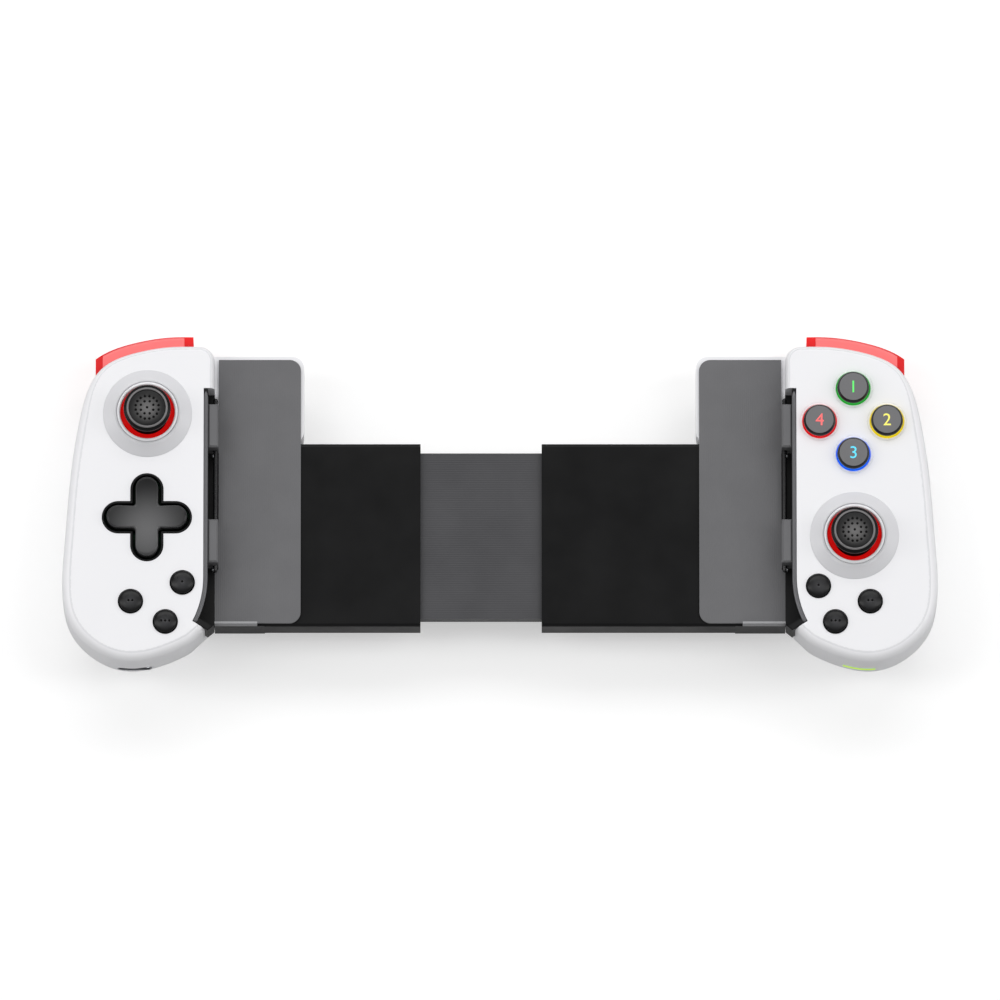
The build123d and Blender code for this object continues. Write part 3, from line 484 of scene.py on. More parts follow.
def band_group():
    """Mask that is 1 where the distance along Direction lies between Low and High, with soft edges."""
    group, entry, leave = new_group(
        "band_mask",
        [
            ("Direction", "NodeSocketVector", (0, 0, 1)),
            ("Low", "NodeSocketFloat", 0.0),
            ("High", "NodeSocketFloat", 1.0),
            ("Soft", "NodeSocketFloat", 0.00001),
        ],
        [("Mask", "NodeSocketFloat")],
    )
    along = vector_result(group, "DOT_PRODUCT", object_place(group), entry.outputs["Direction"], "Value")
    steps = []
    for limit in ("Low", "High"):
        past = result(group, "SUBTRACT", along, entry.outputs[limit])
        steps.append(result(group, "DIVIDE", past, entry.outputs["Soft"], clamp=True))
    group.links.new(result(group, "SUBTRACT", *steps, clamp=True), leave.inputs["Mask"])
    return group


def radial_fade_group():
    """Mask that falls smoothly from 1 at Centre to 0 at Reach from it; it places the painted sheens."""
    group, entry, leave = new_group(
        "radial_fade",
        [("Centre", "NodeSocketVector", (0, 0, 0)), ("Reach", "NodeSocketFloat", 0.005)],
        [("Mask", "NodeSocketFloat")],
    )
    away = vector_result(group, "DISTANCE", object_place(group), entry.outputs["Centre"], "Value")
    fall = group.nodes.new("ShaderNodeMapRange")
    fall.interpolation_type = "SMOOTHSTEP"
    fall.inputs["From Min"].default_value = 0.0
    fall.inputs["To Min"].default_value = 1.0
    fall.inputs["To Max"].default_value = 0.0
    group.links.new(away, fall.inputs["Value"])
    group.links.new(entry.outputs["Reach"], fall.inputs["From Max"])
    group.links.new(fall.outputs["Result"], leave.inputs["Mask"])
    return group


MOULDED_GRAIN = moulded_grain_group()
FINE_RIBS = ribs_group()
BAND_MASK = band_group()
RADIAL_FADE = radial_fade_group()


# Materials

def rgba(colour):
    """Linear colour from an sRGB triple from 0 to 255."""
    shares = np.asarray(colour, dtype=float) / 255
    linear = np.where(shares <= 0.04045, shares / 12.92, ((shares + 0.055) / 1.055) ** 2.4)
    return (*[float(v) for v in linear], 1.0)


def principled(name):
    """New material with nodes: its tree and its Principled shader."""
    material = bpy.data.materials.new(name)
    material.use_nodes = True
    return material, material.node_tree, material.node_tree.nodes["Principled BSDF"]


def shared(tree, group, values):
    """Node that holds a shared group, with values for its inputs."""
    node = tree.nodes.new("ShaderNodeGroup")
    node.node_tree = group
    for label, value in values.items():
        node.inputs[label].default_value = value
    return node


def bumped(tree, height, strength, distance):
    """Bump node on a height, with its strength and its distance in metres."""
    bump = tree.nodes.new("ShaderNodeBump")
    bump.inputs["Strength"].default_value = strength
    bump.inputs["Distance"].default_value = distance
    tree.links.new(height, bump.inputs["Height"])
    return bump


def mixed(tree, mask, colour, second):
    """Colour that turns into a second one where a mask is 1."""
    blend = tree.nodes.new("ShaderNodeMix")
    blend.data_type = "RGBA"
    blend.inputs[7].default_value = rgba(second)
    tree.links.new(mask, blend.inputs["Factor"])
    tree.links.new(colour, blend.inputs[6])
    return blend.outputs[2]


def tinted(tree, colour, direction, low, high, soft, second):
    """Colour that turns into a second one in a band along a direction, all in metres."""
    band = shared(tree, BAND_MASK, {"Direction": direction, "Low": low, "High": high, "Soft": soft})
    return mixed(tree, band.outputs["Mask"], colour, second)


def faded(tree, colour, centre, reach, second):
    """Painted sheen: colour that turns into a second one towards a centre, in metres."""
    fade = shared(tree, RADIAL_FADE, {"Centre": centre, "Reach": reach})
    return mixed(tree, fade.outputs["Mask"], colour, second)


def moulded(name, colour, patch, roughness=(0.40, 0.50), patch_scale=45.0, grain_scale=4000.0,
            grain=0.10, grain_depth=0.00003, ribs=None, glow=None, metallic=0.0, specular=0.5,
            tint=None, fade=None):
    """Moulded or cast finish: two close colours in slow patches, a fine grain and, if asked,
    straight ribs, a glow in its own colour, a band in a second colour or a painted sheen that fades out.
    """
    material, tree, shader = principled(name)
    group = shared(tree, MOULDED_GRAIN, {
        "Colour": rgba(colour), "Patch Colour": rgba(patch), "Patch Scale": patch_scale,
        "Grain Scale": grain_scale, "Roughness Low": roughness[0], "Roughness High": roughness[1],
    })
    shown = group.outputs["Colour"]
    if tint:
        shown = tinted(tree, shown, *tint)
    if fade:
        shown = faded(tree, shown, *fade)
    tree.links.new(shown, shader.inputs["Base Color"])
    tree.links.new(group.outputs["Roughness"], shader.inputs["Roughness"])
    shader.inputs["Metallic"].default_value = metallic
    shader.inputs["Specular IOR Level"].default_value = specular
    bump = bumped(tree, group.outputs["Height"], grain, grain_depth)
    if ribs:
        direction, pitch, strength = ribs
        lines = shared(tree, FINE_RIBS, {"Direction": direction, "Pitch": pitch})
        second = bumped(tree, lines.outputs["Height"], strength, pitch / 4)
        tree.links.new(second.outputs["Normal"], bump.inputs["Normal"])
    tree.links.new(bump.outputs["Normal"], shader.inputs["Normal"])
    if glow:
        tree.links.new(group.outputs["Colour"], shader.inputs["Emission Color"])
        shader.inputs["Emission Strength"].default_value = glow
    return material


def ring_light(name, colour, patch):
    """Lit plastic of a light ring."""
    return moulded(name, colour, patch, (0.25, 0.35), 160, 6000, 0.05, glow=RING_GLOW)


def ink(name, colour, patch):
    """Printed ink that the light below shines through."""
    return moulded(name, colour, patch, (0.4, 0.5), 300, 6000, 0.05, glow=INK_GLOW)


# Painted shade: a thin grey line round the edge of the white faces, where they start to roll over
EDGE_PAINTED_SHADE = (
    ALONG_Z, FACE_Z - EDGE_LINE_LOW * MM, FACE_Z - EDGE_LINE_HIGH * MM, EDGE_LINE_SOFT * MM, (222, 222, 225)
)
# Painted highlight: a lighter grey strip on the pads' edge nearest the user
LEDGE_PAINTED_HIGHLIGHT = (ALONG_Y, LEDGE_BOTTOM * MM, LEDGE_TOP * MM, LEDGE_SOFT * MM, (158, 158, 160))
BUMPER_FRONT = (
    ALONG_Z, 0.0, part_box("left_bumper")[1][2] - BUMPER_LINE * MM, BUMPER_SOFT * MM, (226, 22, 28)
)
PLATE_RIBS = (ALONG_Y, 0.0006, 0.12)
PAD_RIBS = (ALONG_X, 0.0005, 0.22)

# Each row: colour, patch colour, roughness range, patch scale, grain scale and grain strength
FINISHES = {
    "white_shell": moulded(
        "white_shell", (243, 243, 245), (238, 238, 241), (0.38, 0.46), 30, 3500, 0.12, tint=EDGE_PAINTED_SHADE
    ),
    # The collars' cone is light grey, a little darker than their white lip: partly its own colour, partly
    # painted shade of its sloping side
    "collar_grey": moulded(
        "collar_grey", (222, 222, 225), (214, 214, 217), (0.34, 0.42), 60, 5000, 0.10
    ),
    "black_plastic": moulded(
        "black_plastic", (11, 11, 12), (17, 17, 18), (0.36, 0.46), 90, 5000, 0.25, specular=0.25
    ),
    "bridge_black": moulded(
        "bridge_black", (8, 8, 9), (13, 13, 14), (0.30, 0.40), 70, 4500, 0.20, specular=0.2
    ),
    "plate_grey": moulded(
        "plate_grey", (58, 58, 61), (68, 68, 71), (0.34, 0.44), 60, 4500, 0.2, ribs=PLATE_RIBS
    ),
    "pad_rubber": moulded(
        "pad_rubber", (110, 110, 112), (103, 103, 105), (0.66, 0.76), 90, 6000, 0.4,
        ribs=PAD_RIBS, specular=0.3, tint=LEDGE_PAINTED_HIGHLIGHT,
    ),
    "stick_rubber": moulded(
        "stick_rubber", (5, 5, 6), (9, 9, 10), (0.34, 0.44), 200, 7000, 0.35, specular=0.22
    ),
    "key_black": moulded("key_black", (14, 14, 15), (19, 19, 20), (0.30, 0.38), 120, 6000, 0.12),
    "button_black": moulded(
        "button_black", (10, 10, 11), (15, 15, 16), (0.28, 0.36), 140, 6000, 0.12, specular=0.3
    ),
    "bumper_salmon": moulded(
        "bumper_salmon", (255, 122, 122), (250, 114, 114), (0.28, 0.36), 70, 5000, 0.08,
        tint=BUMPER_FRONT,
    ),
    "trigger_red": moulded(
        "trigger_red", (244, 14, 20), (230, 10, 14), (0.28, 0.36), 70, 5000, 0.08
    ),
    "ring_red": ring_light("ring_red", (222, 14, 12), (196, 8, 8)),
    "ring_colours": ring_light("ring_green", (40, 178, 60), (30, 150, 46)),
    "status_green": moulded(
        "status_green", (190, 240, 40), (170, 226, 30), (0.3, 0.4), 160, 6000, 0.05,
        glow=STATUS_GLOW,
    ),
    "steel": moulded(
        "steel", (190, 192, 196), (172, 174, 178), (0.22, 0.34), 200, 6000, 0.1, metallic=1.0
    ),
    "acetal": moulded("acetal", (222, 218, 206), (212, 208, 196), (0.38, 0.48), 100, 5000, 0.1),
    "board_green": moulded("board_green", (28, 92, 58), (22, 80, 50), (0.30, 0.42), 120, 5000, 0.1),
    "battery_wrap": moulded(
        "battery_wrap", (142, 148, 154), (130, 136, 142), (0.28, 0.4), 80, 5000, 0.1
    ),
    "ribbon_amber": moulded(
        "ribbon_amber", (178, 122, 46), (160, 106, 38), (0.3, 0.4), 120, 5000, 0.1
    ),
}
KEYCAP_GREY = moulded(
    "keycap_grey", (112, 112, 114), (106, 106, 108), (0.36, 0.44), 140, 6000, 0.15
)
# Grey along the stick cap's ridge: a painted highlight on the black rubber
RIM_PAINTED_HIGHLIGHT = moulded("stick_rim_painted_highlight", (128, 126, 127), (112, 110, 111), (0.34, 0.44), 160, 6000, 0.15)
LIP_WHITE = moulded("lip_white", (246, 246, 248), (240, 240, 243), (0.30, 0.38), 60, 5000, 0.06)
# Black in the hollows of the cap's dimples and the small buttons' dots: painted shade
DIMPLE_PAINTED_SHADE = moulded("dimple_painted_shade", (2, 2, 2), (4, 4, 4), (0.6, 0.7), 200, 7000, 0.1, specular=0.1)
# Darker grey in the collar's groove: painted shade
GROOVE_PAINTED_SHADE = moulded("groove_painted_shade", (196, 196, 199), (186, 186, 189), (0.5, 0.6), 60, 5000, 0.1)
# Grey of the rim bead on the black clamp wall: a painted highlight
BEAD_PAINTED_HIGHLIGHT = moulded("bead_painted_highlight", (98, 98, 101), (88, 88, 91), (0.30, 0.40), 120, 5000, 0.15)
ROD_BLACK = moulded("rod_black", (20, 20, 22), (28, 28, 30), (0.22, 0.30), 160, 6000, 0.08)
INKS = {
    "top": ink("ink_green", (96, 230, 110), (84, 216, 98)),
    "outer": ink("ink_yellow", (240, 232, 110), (228, 220, 96)),
    "bottom": ink("ink_blue", (96, 214, 240), (84, 200, 230)),
    "inner": ink("ink_red", (255, 110, 110), (240, 98, 98)),
}
RING_LIGHTS = {
    "top": FINISHES["ring_colours"],
    "outer": ring_light("ring_yellow", (226, 208, 20), (206, 188, 12)),
    "bottom": ring_light("ring_blue", (20, 110, 230), (14, 96, 210)),
    "inner": ring_light("ring_scarlet", (214, 22, 30), (190, 16, 24)),
}


# Frame's own pieces

def dress_frame():
    """Gives each CAD node its finish, welds its triangles for shading and evens its normals."""
    slots = {row["node"]: row["material_slot"] for row in frame["record"]["subparts"]}
    for name, node in frame["nodes"].items():
        node.data.materials.clear()
        node.data.materials.append(FINISHES[slots[name]])
        node.data.polygons.foreach_set("use_smooth", np.ones(len(node.data.polygons), dtype=bool))
        weld = node.modifiers.new("weld", "WELD")
        weld.merge_threshold = WELD_DISTANCE
        split = node.modifiers.new("crisp_edges", "EDGE_SPLIT")
        split.split_angle = CRISP_ANGLE
        even = node.modifiers.new("even_normals", "WEIGHTED_NORMAL")
        even.keep_sharp = True


# Sticks

def dimples(radius, height, angle):
    """Round dimples in the dome, from 0 to 1: the sum of exp(-(distance / w)^2) over their centres."""
    x, y = radius * np.cos(angle), radius * np.sin(angle)
    dips = np.zeros_like(x)
    for count, ring in CAP_DIMPLE_RINGS:
        for step in range(count):
            turn = 2 * math.pi * (step + 0.5) / count
            away = (x - ring * math.cos(turn)) ** 2 + (y - ring * math.sin(turn)) ** 2
            dips += np.exp(-away / CAP_DIMPLE_WIDTH ** 2)
    return dips * (height > CAP_GROOVE_TOP - CAP_DOME_MARGIN) * (radius < CAP_GROOVE)


def cap_relief(radius, height, angle):
    """Knurls on the skirt, radius + k s (cos(60 a) - 1), and the dome's dimples, z - h times their depth.

    s is exp(-((z - m) / w)^2), with m the middle of the skirt.
    """
    from_middle = height - (CAP_WAIST + CAP_SHOULDER) / 2
    skirt = np.exp(-((from_middle / CAP_KNURL_SPREAD) ** 2)) * (radius > CAP_RIDGE)
    more_radius = CAP_KNURL_DEPTH * skirt * (np.cos(CAP_KNURLS * angle) - 1)
    return more_radius, -CAP_DIMPLE_DEPTH * dimples(radius, height, angle)


def stick_cap(side):
    """Mushroom cap of a stick: stem, skirt, ridge and dimpled dome, turned round its axis.

    At the share s of its radius the dome stands at g + (d - g) (1 - s^2), from the groove's
    level g to its own top d.
    """
    outside = sampled(
        [(CAP_STEM, CAP_TAIL), (CAP_STEM, CAP_UNDERSIDE),
         (CAP_SKIRT - CAP_FLARE, CAP_UNDERSIDE + CAP_FLARE_RISE), (CAP_SKIRT, CAP_WAIST),
         (CAP_SKIRT, CAP_SHOULDER), (CAP_RIDGE + CAP_BEVEL, CAP_RIDGE_TOP - CAP_BEVEL),
         (CAP_RIDGE, CAP_RIDGE_TOP), (CAP_RIDGE - CAP_RIDGE_WIDTH, CAP_RIDGE_TOP),
         (CAP_GROOVE, CAP_GROOVE_TOP)], CAP_STEPS
    )
    outside = rounded(outside, CAP_PASSES)
    share = np.linspace(1, 0, CAP_DOME_STEPS)[1:, None]
    rise = CAP_GROOVE_TOP + (CAP_DOME_TOP - CAP_GROOVE_TOP) * (1 - share ** 2)
    dome = np.hstack([CAP_GROOVE * share, rise])
    foot = np.array([[0.0, CAP_TAIL]])
    profile = np.vstack([foot, outside, dome])
    radii, heights = run_middles(profile)
    # ridge: the painted highlight along the cap's ridge
    ridge = (heights > CAP_RIDGE_TOP - CAP_RIDGE_TINT) & (radii > CAP_GROOVE)
    # top: the dome, which carries a painted sheen
    top = (heights > CAP_GROOVE_TOP - CAP_DOME_MARGIN) & (radii <= CAP_GROOVE)
    # sunk: dimples painted black as shade in their hollows
    sunk = dimples(radii[:, None], heights[:, None], quad_angles(CAP_TURNS)) > DIMPLE_TINT
    parts = np.where(sunk, 3, (ridge + 2 * top)[:, None])
    centre = node_axis(side + "_stick_cap")
    # The black dome gets a painted sheen: it turns grey towards a point near its top, shifted towards the
    # user
    dome_painted_sheen = moulded(
        side + "_dome_painted_sheen", (6, 6, 7), (10, 10, 11), (0.36, 0.46), 200, 7000, 0.25, specular=0.25,
        fade=(over(centre, CAP_SHEEN_SHIFT, CAP_DOME_TOP), CAP_GROOVE * MM, (108, 107, 107)),
    )
    cap = turned_piece(
        side + "_stick_top", profile, centre, CAP_TURNS,
        [FINISHES["stick_rubber"], RIM_PAINTED_HIGHLIGHT, dome_painted_sheen, DIMPLE_PAINTED_SHADE],
        side + "_stick", side + "_stick_cap", parts, cap_relief,
    )


def stick_boot(side):
    """Black dust boot on the stem: part of a hollow ball about the pivot, (R sin t, p + R cos t)."""
    lean = np.linspace(0, math.asin(BOOT_REACH / BOOT_RADIUS), BOOT_STEPS)[:, None]
    outside = np.hstack([BOOT_RADIUS * np.sin(lean), STICK_PIVOT + BOOT_RADIUS * np.cos(lean)])
    inner = BOOT_RADIUS - BOOT_THICKNESS
    inside = np.hstack([inner * np.sin(lean), STICK_PIVOT + inner * np.cos(lean)])
    profile = np.vstack([inside, outside[::-1]])
    boot = turned_piece(
        side + "_stick_boot", profile, node_axis(side + "_stick_cap"), BOOT_TURNS,
        [FINISHES["stick_rubber"]], side + "_stick",
    )


def stick_collar(side):
    """Cone round a stick with a white lip, a groove beside it painted darker as shade and a small round at
    its foot.
    """
    profile = sampled(
        [(WELL_RADIUS, COLLAR_FOOT), (SPIGOT_RADIUS, COLLAR_FOOT), (SPIGOT_RADIUS, 0.0),
         (CONE_RADIUS, 0.0), (CONE_RADIUS - CONE_ROUND / 3, CONE_ROUND / 2),
         (CONE_RADIUS - CONE_ROUND, CONE_ROUND), (GROOVE_EDGE, CONE_TOP),
         (GROOVE_EDGE - GROOVE_DRAFT, GROOVE_LEVEL), (LIP_EDGE + LIP_DRAFT, GROOVE_LEVEL),
         (LIP_EDGE, LIP_TOP - LIP_ROUND), (LIP_EDGE - LIP_ROUND / 3, LIP_TOP - LIP_ROUND / 3),
         (LIP_EDGE - LIP_ROUND, LIP_TOP), (WELL_RADIUS + LIP_ROUND, LIP_TOP),
         (WELL_RADIUS + LIP_ROUND / 3, LIP_TOP - LIP_ROUND / 3),
         (WELL_RADIUS, LIP_TOP - LIP_ROUND), (WELL_RADIUS, COLLAR_FOOT)], COLLAR_STEPS
    )
    radii, heights = run_middles(profile)
    on_lip = (radii < LIP_EDGE + TINT_MARGIN) & (heights > COLLAR_FOOT + TINT_MARGIN)
    beside_lip = (radii > LIP_EDGE + TINT_MARGIN) & (radii < GROOVE_EDGE + TINT_MARGIN)
    shaded_groove_mask = beside_lip & (heights > 0)
    collar = turned_piece(
        side + "_stick_cone", profile, node_axis(side + "_stick_collar"), COLLAR_TURNS,
        [FINISHES["collar_grey"], LIP_WHITE, GROOVE_PAINTED_SHADE], side + "_handle", side + "_stick_collar",
        on_lip + 2 * shaded_groove_mask,
    )


def stick_glow(side):
    """Red light ring in the stick's well: a shallow funnel that reaches in under the cap."""
    profile = sampled(
        [(GLOW_INNER, GLOW_FOOT), (GLOW_OUTER, GLOW_FOOT), (GLOW_OUTER, GLOW_HIGH),
         (GLOW_OUTER - GLOW_BEVEL, GLOW_HIGH - GLOW_BEVEL_DROP), (GLOW_INNER, GLOW_LOW),
         (GLOW_INNER, GLOW_FOOT)], GLOW_STEPS
    )
    ring = turned_piece(
        side + "_stick_glow", profile, node_axis(side + "_stick_light_ring"), GLOW_TURNS,
        [FINISHES["ring_red"]], side + "_handle", side + "_stick_light_ring",
    )


# Buttons

def small_button(side, name, marks):
    """Small button, turned, with the dome (R cos t, e + (h - e) sin t) and a row of sunk dots.

    marks is how many dots there are; each sinks by d exp(-(distance / w)^2).
    """
    quarter = np.linspace(0, math.pi / 2, SMALL_STEPS)[:, None]
    rise = SMALL_EDGE + (SMALL_TOP - SMALL_EDGE) * np.sin(quarter)
    dome = np.hstack([SMALL_RADIUS * np.cos(quarter), rise])
    side_wall = [[0.0, SMALL_FOOT], [SMALL_RADIUS, SMALL_FOOT], [SMALL_RADIUS, 0.0]]
    profile = np.vstack([side_wall[:2], rounded(np.vstack([side_wall[2:], dome]), EDGE_PASSES)])

    def dots(radius, height, angle):
        x, y = radius * np.cos(angle), radius * np.sin(angle)
        dips = np.zeros_like(x)
        for step in range(marks):
            place = (step - (marks - 1) / 2) * MARK_SPACING
            dips += np.exp(-((x - place) ** 2 + y ** 2) / MARK_WIDTH ** 2)
        return dips * (height > SMALL_EDGE)

    def sunk_dots(radius, height, angle):
        return 0, -MARK_DEPTH * dots(radius, height, angle)

    node = f"{side}_{name}_button"
    centre = node_axis(node)
    # The black button gets a painted sheen that turns it grey towards a point near its top
    sheen = over(centre, SMALL_SHEEN_SHIFT, SMALL_TOP)
    black = moulded(
        f"{node}_black", (6, 6, 7), (10, 10, 11), (0.26, 0.34), 140, 6000, 0.12, specular=0.25,
        fade=(sheen, SMALL_RADIUS * MM * SMALL_SHEEN_SHARE, (58, 58, 60)),
    )
    radii, heights = run_middles(profile)
    # Sunk dots painted black as shade in their hollows
    sunk = dots(radii[:, None], heights[:, None], quad_angles(BUTTON_TURNS)) > MARK_TINT
    button = turned_piece(
        f"{node}_cap", profile, centre, BUTTON_TURNS, [black, DIMPLE_PAINTED_SHADE], node, node, sunk, sunk_dots
    )


def numeral(name, digit, centre, height, material, body):
    """Flat printed numeral that stands a hair proud of a surface, centred on a point."""
    curve = bpy.data.curves.new(name, "FONT")
    curve.body = digit
    curve.size = height * MM * LETTER_SIZE_TO_HEIGHT
    curve.extrude = INK_THICKNESS * MM / 2
    curve.align_x = "CENTER"
    curve.align_y = "CENTER"
    draft = bpy.data.objects.new(name + "_draft", curve)
    bpy.context.scene.collection.objects.link(draft)
    mesh = bpy.data.meshes.new_from_object(draft.evaluated_get(bpy.context.evaluated_depsgraph_get()))
    bpy.data.objects.remove(draft)
    points = np.empty(len(mesh.vertices) * 3)
    mesh.vertices.foreach_get("co", points)
    points = points.reshape(-1, 3)
    middle = (points.min(axis=0) + points.max(axis=0)) / 2
    points = points - middle + np.asarray(centre)
    mesh.vertices.foreach_set("co", points.ravel())
    mesh.materials.clear()
    mesh.materials.append(material)
    mesh.name = name
    print_object = bpy.data.objects.new(name, mesh)
    bpy.context.scene.collection.objects.link(print_object)
    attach(print_object, body)


def action_button(name, digit):
    """Tall round button, turned: black body with a lit skirt, grey face disc and a plain numeral."""
    node = f"right_{name}_action_button"
    centre = node_axis(node)
    crown = ACTION_TOP + ACTION_CROWN
    profile = sampled(
        [(0.0, ACTION_FOOT), (ACTION_RADIUS, ACTION_FOOT), (ACTION_RADIUS, ACTION_SHOULDER),
         (ACTION_FACE + ACTION_BEVEL, ACTION_TOP - ACTION_BEVEL_DROP), (ACTION_FACE, ACTION_TOP),
         (0.0, crown)], ACTION_STEPS
    )
    profile = rounded(profile, EDGE_PASSES)
    on_face = (profile[:-1, 0] <= ACTION_FACE) & (profile[:-1, 1] > ACTION_SHOULDER)
    on_side = profile[:-1, 0] > ACTION_RADIUS - ACTION_SIDE_MARGIN
    heights = run_middles(profile)[1]
    on_skirt = on_side & (heights > ACTION_UNLIT) & (heights < ACTION_LIT)
    button = turned_piece(
        f"{node}_cap", profile, centre, BUTTON_TURNS,
        [FINISHES["button_black"], KEYCAP_GREY, RING_LIGHTS[name]], node, node, on_face + 2 * on_skirt,
    )
    numeral(f"{node}_print", digit, over(centre, 0, crown), INK_HEIGHT, INKS[name], node)


def action_glow(name):
    """Light ring round an action button: a lit floor sunk inside a white lip level with the face."""
    below_top = RING_TOP - RING_BEVEL
    profile = sampled(
        [(RING_INNER, RING_FOOT), (RING_OUTER, RING_FOOT), (RING_OUTER, below_top),
         (RING_OUTER - RING_BEVEL, RING_TOP), (RING_STEP + RING_BEVEL, RING_TOP),
         (RING_STEP, below_top), (RING_STEP, RING_FLOOR), (RING_INNER, RING_FLOOR),
         (RING_INNER, RING_FOOT)], RING_STEPS
    )
    radii = run_middles(profile)[0]
    ring = turned_piece(
        f"right_{name}_action_glow", profile, node_axis(f"right_{name}_action_button"), BUTTON_TURNS,
        [RING_LIGHTS[name], FINISHES["white_shell"]], "right_handle", "right_action_light_rings",
        radii > RING_STEP - TINT_MARGIN,
    )


# Cross key

def cross_radius(angle):
    """Distance from the centre of the rounded cross to its edge along an angle.

    Within the end circle it is p cos t + sqrt(h^2 - p^2 sin^2 t), along the arm h / sin t, and in
    the filleted corner c cos u - sqrt(f^2 - c^2 sin^2 u), with t from the arm's axis and u from
    the diagonal.
    """
    quarter = math.pi / 2
    from_axis = np.abs((angle + quarter / 2) % quarter - quarter / 2)
    centre = KEY_REACH - KEY_HALF_ARM
    corner = math.sqrt(2) * (KEY_HALF_ARM + KEY_CORNER)
    from_diagonal = quarter / 2 - from_axis
    end = centre * np.cos(from_axis) + np.sqrt(
        np.maximum(KEY_HALF_ARM ** 2 - (centre * np.sin(from_axis)) ** 2, 0)
    )
    side = KEY_HALF_ARM / np.maximum(np.sin(from_axis), SMALLEST_SINE)
    fillet = corner * np.cos(from_diagonal) - np.sqrt(
        np.maximum(KEY_CORNER ** 2 - (corner * np.sin(from_diagonal)) ** 2, 0)
    )
    radius = np.where(from_axis < math.atan2(KEY_HALF_ARM, centre), end, side)
    return np.where(from_axis > math.atan2(KEY_HALF_ARM, KEY_HALF_ARM + KEY_CORNER), fillet, radius)


def cross_key():
    """Cross key: rays (r cos a, r sin a) from its centre to its edge, then straight sides and a flat foot.

    The top stands at h - max(d - r^2 / 2R, 0) - e (1 - sqrt(1 - (1 - u)^2)): a shallow dish of
    radius R and a rounded edge, with u the way in from the edge in edge widths e, at most 1.
    """
    angle = (np.arange(KEY_TURNS) / KEY_TURNS * 2 * math.pi)[None, :]
    edge = cross_radius(angle)
    inner_share = np.linspace(0, KEY_EDGE_SHARE, KEY_RINGS)
    share = np.concatenate([inner_share, np.linspace(KEY_EDGE_SHARE, 1, KEY_EDGE_RINGS)[1:]])
    radius = share[:, None] * edge
    x, y = radius * np.cos(angle), radius * np.sin(angle)
    inward = np.minimum(edge - radius, KEY_EDGE) / KEY_EDGE
    fall = KEY_EDGE * (1 - np.sqrt(np.maximum(1 - (1 - inward) ** 2, 0)))
    dish = np.maximum(KEY_DISH_DEPTH - radius ** 2 / (2 * KEY_DISH_RADIUS), 0)
    top = KEY_TOP - dish - fall
    side_heights = np.linspace(KEY_TOP - KEY_EDGE, KEY_FOOT, KEY_SIDE_RINGS)[1:, None]
    side_x = np.repeat(edge * np.cos(angle), len(side_heights), axis=0)
    side_y = np.repeat(edge * np.sin(angle), len(side_heights), axis=0)
    side_z = np.repeat(side_heights, KEY_TURNS, axis=1)
    x = np.vstack([x, side_x, np.zeros((1, KEY_TURNS))])
    y = np.vstack([y, side_y, np.zeros((1, KEY_TURNS))])
    z = np.vstack([top, side_z, np.full((1, KEY_TURNS), KEY_FOOT)])
    centre = node_axis("left_cross_key")
    grid = [centre[0] + x * MM, centre[1] + y * MM, centre[2] + z * MM]
    points = np.stack(grid, axis=-1).reshape(-1, 3)
    faces = grid_faces(len(x), KEY_TURNS, True)[:, ::-1]
    # The black key gets a painted sheen: lighter grey towards a point shifted towards the user, fading out
    # at the reach
    black = moulded(
        "cross_black_painted_sheen", (16, 16, 17), (21, 21, 22), (0.28, 0.36), 120, 6000, 0.12, specular=0.3,
        fade=(over(centre, KEY_SHEEN_SHIFT, KEY_TOP), KEY_SHEEN_REACH * MM, (100, 100, 101)),
    )
    key = mesh_piece("left_cross_top", points, faces, [black], "left_cross_key", "left_cross_key")


# Clamp details

def rod_along_y(name, x, y_low, y_high, z, radius, material, body):
    """Round rod along Y with rounded ends: (x + r cos a, y, z + r sin a)."""
    ends = np.linspace(0, math.pi / 2, ROD_STEPS)[:, None]
    first = np.hstack([radius * np.sin(ends), y_low + radius * (1 - np.cos(ends))])
    last = np.hstack([radius * np.cos(ends), y_high - radius * (1 - np.sin(ends))])
    profile = np.vstack([first, last])
    angle = angles_round(ROD_TURNS)
    out = profile[:, :1]
    along = np.repeat(profile[:, 1:], ROD_TURNS, axis=1)
    points = np.stack([x + out * np.cos(angle), along, z + out * np.sin(angle)], axis=-1).reshape(-1, 3)
    faces = grid_faces(len(profile), ROD_TURNS, True)[:, ::-1]
    rod = mesh_piece(name, points, faces, [material], body)


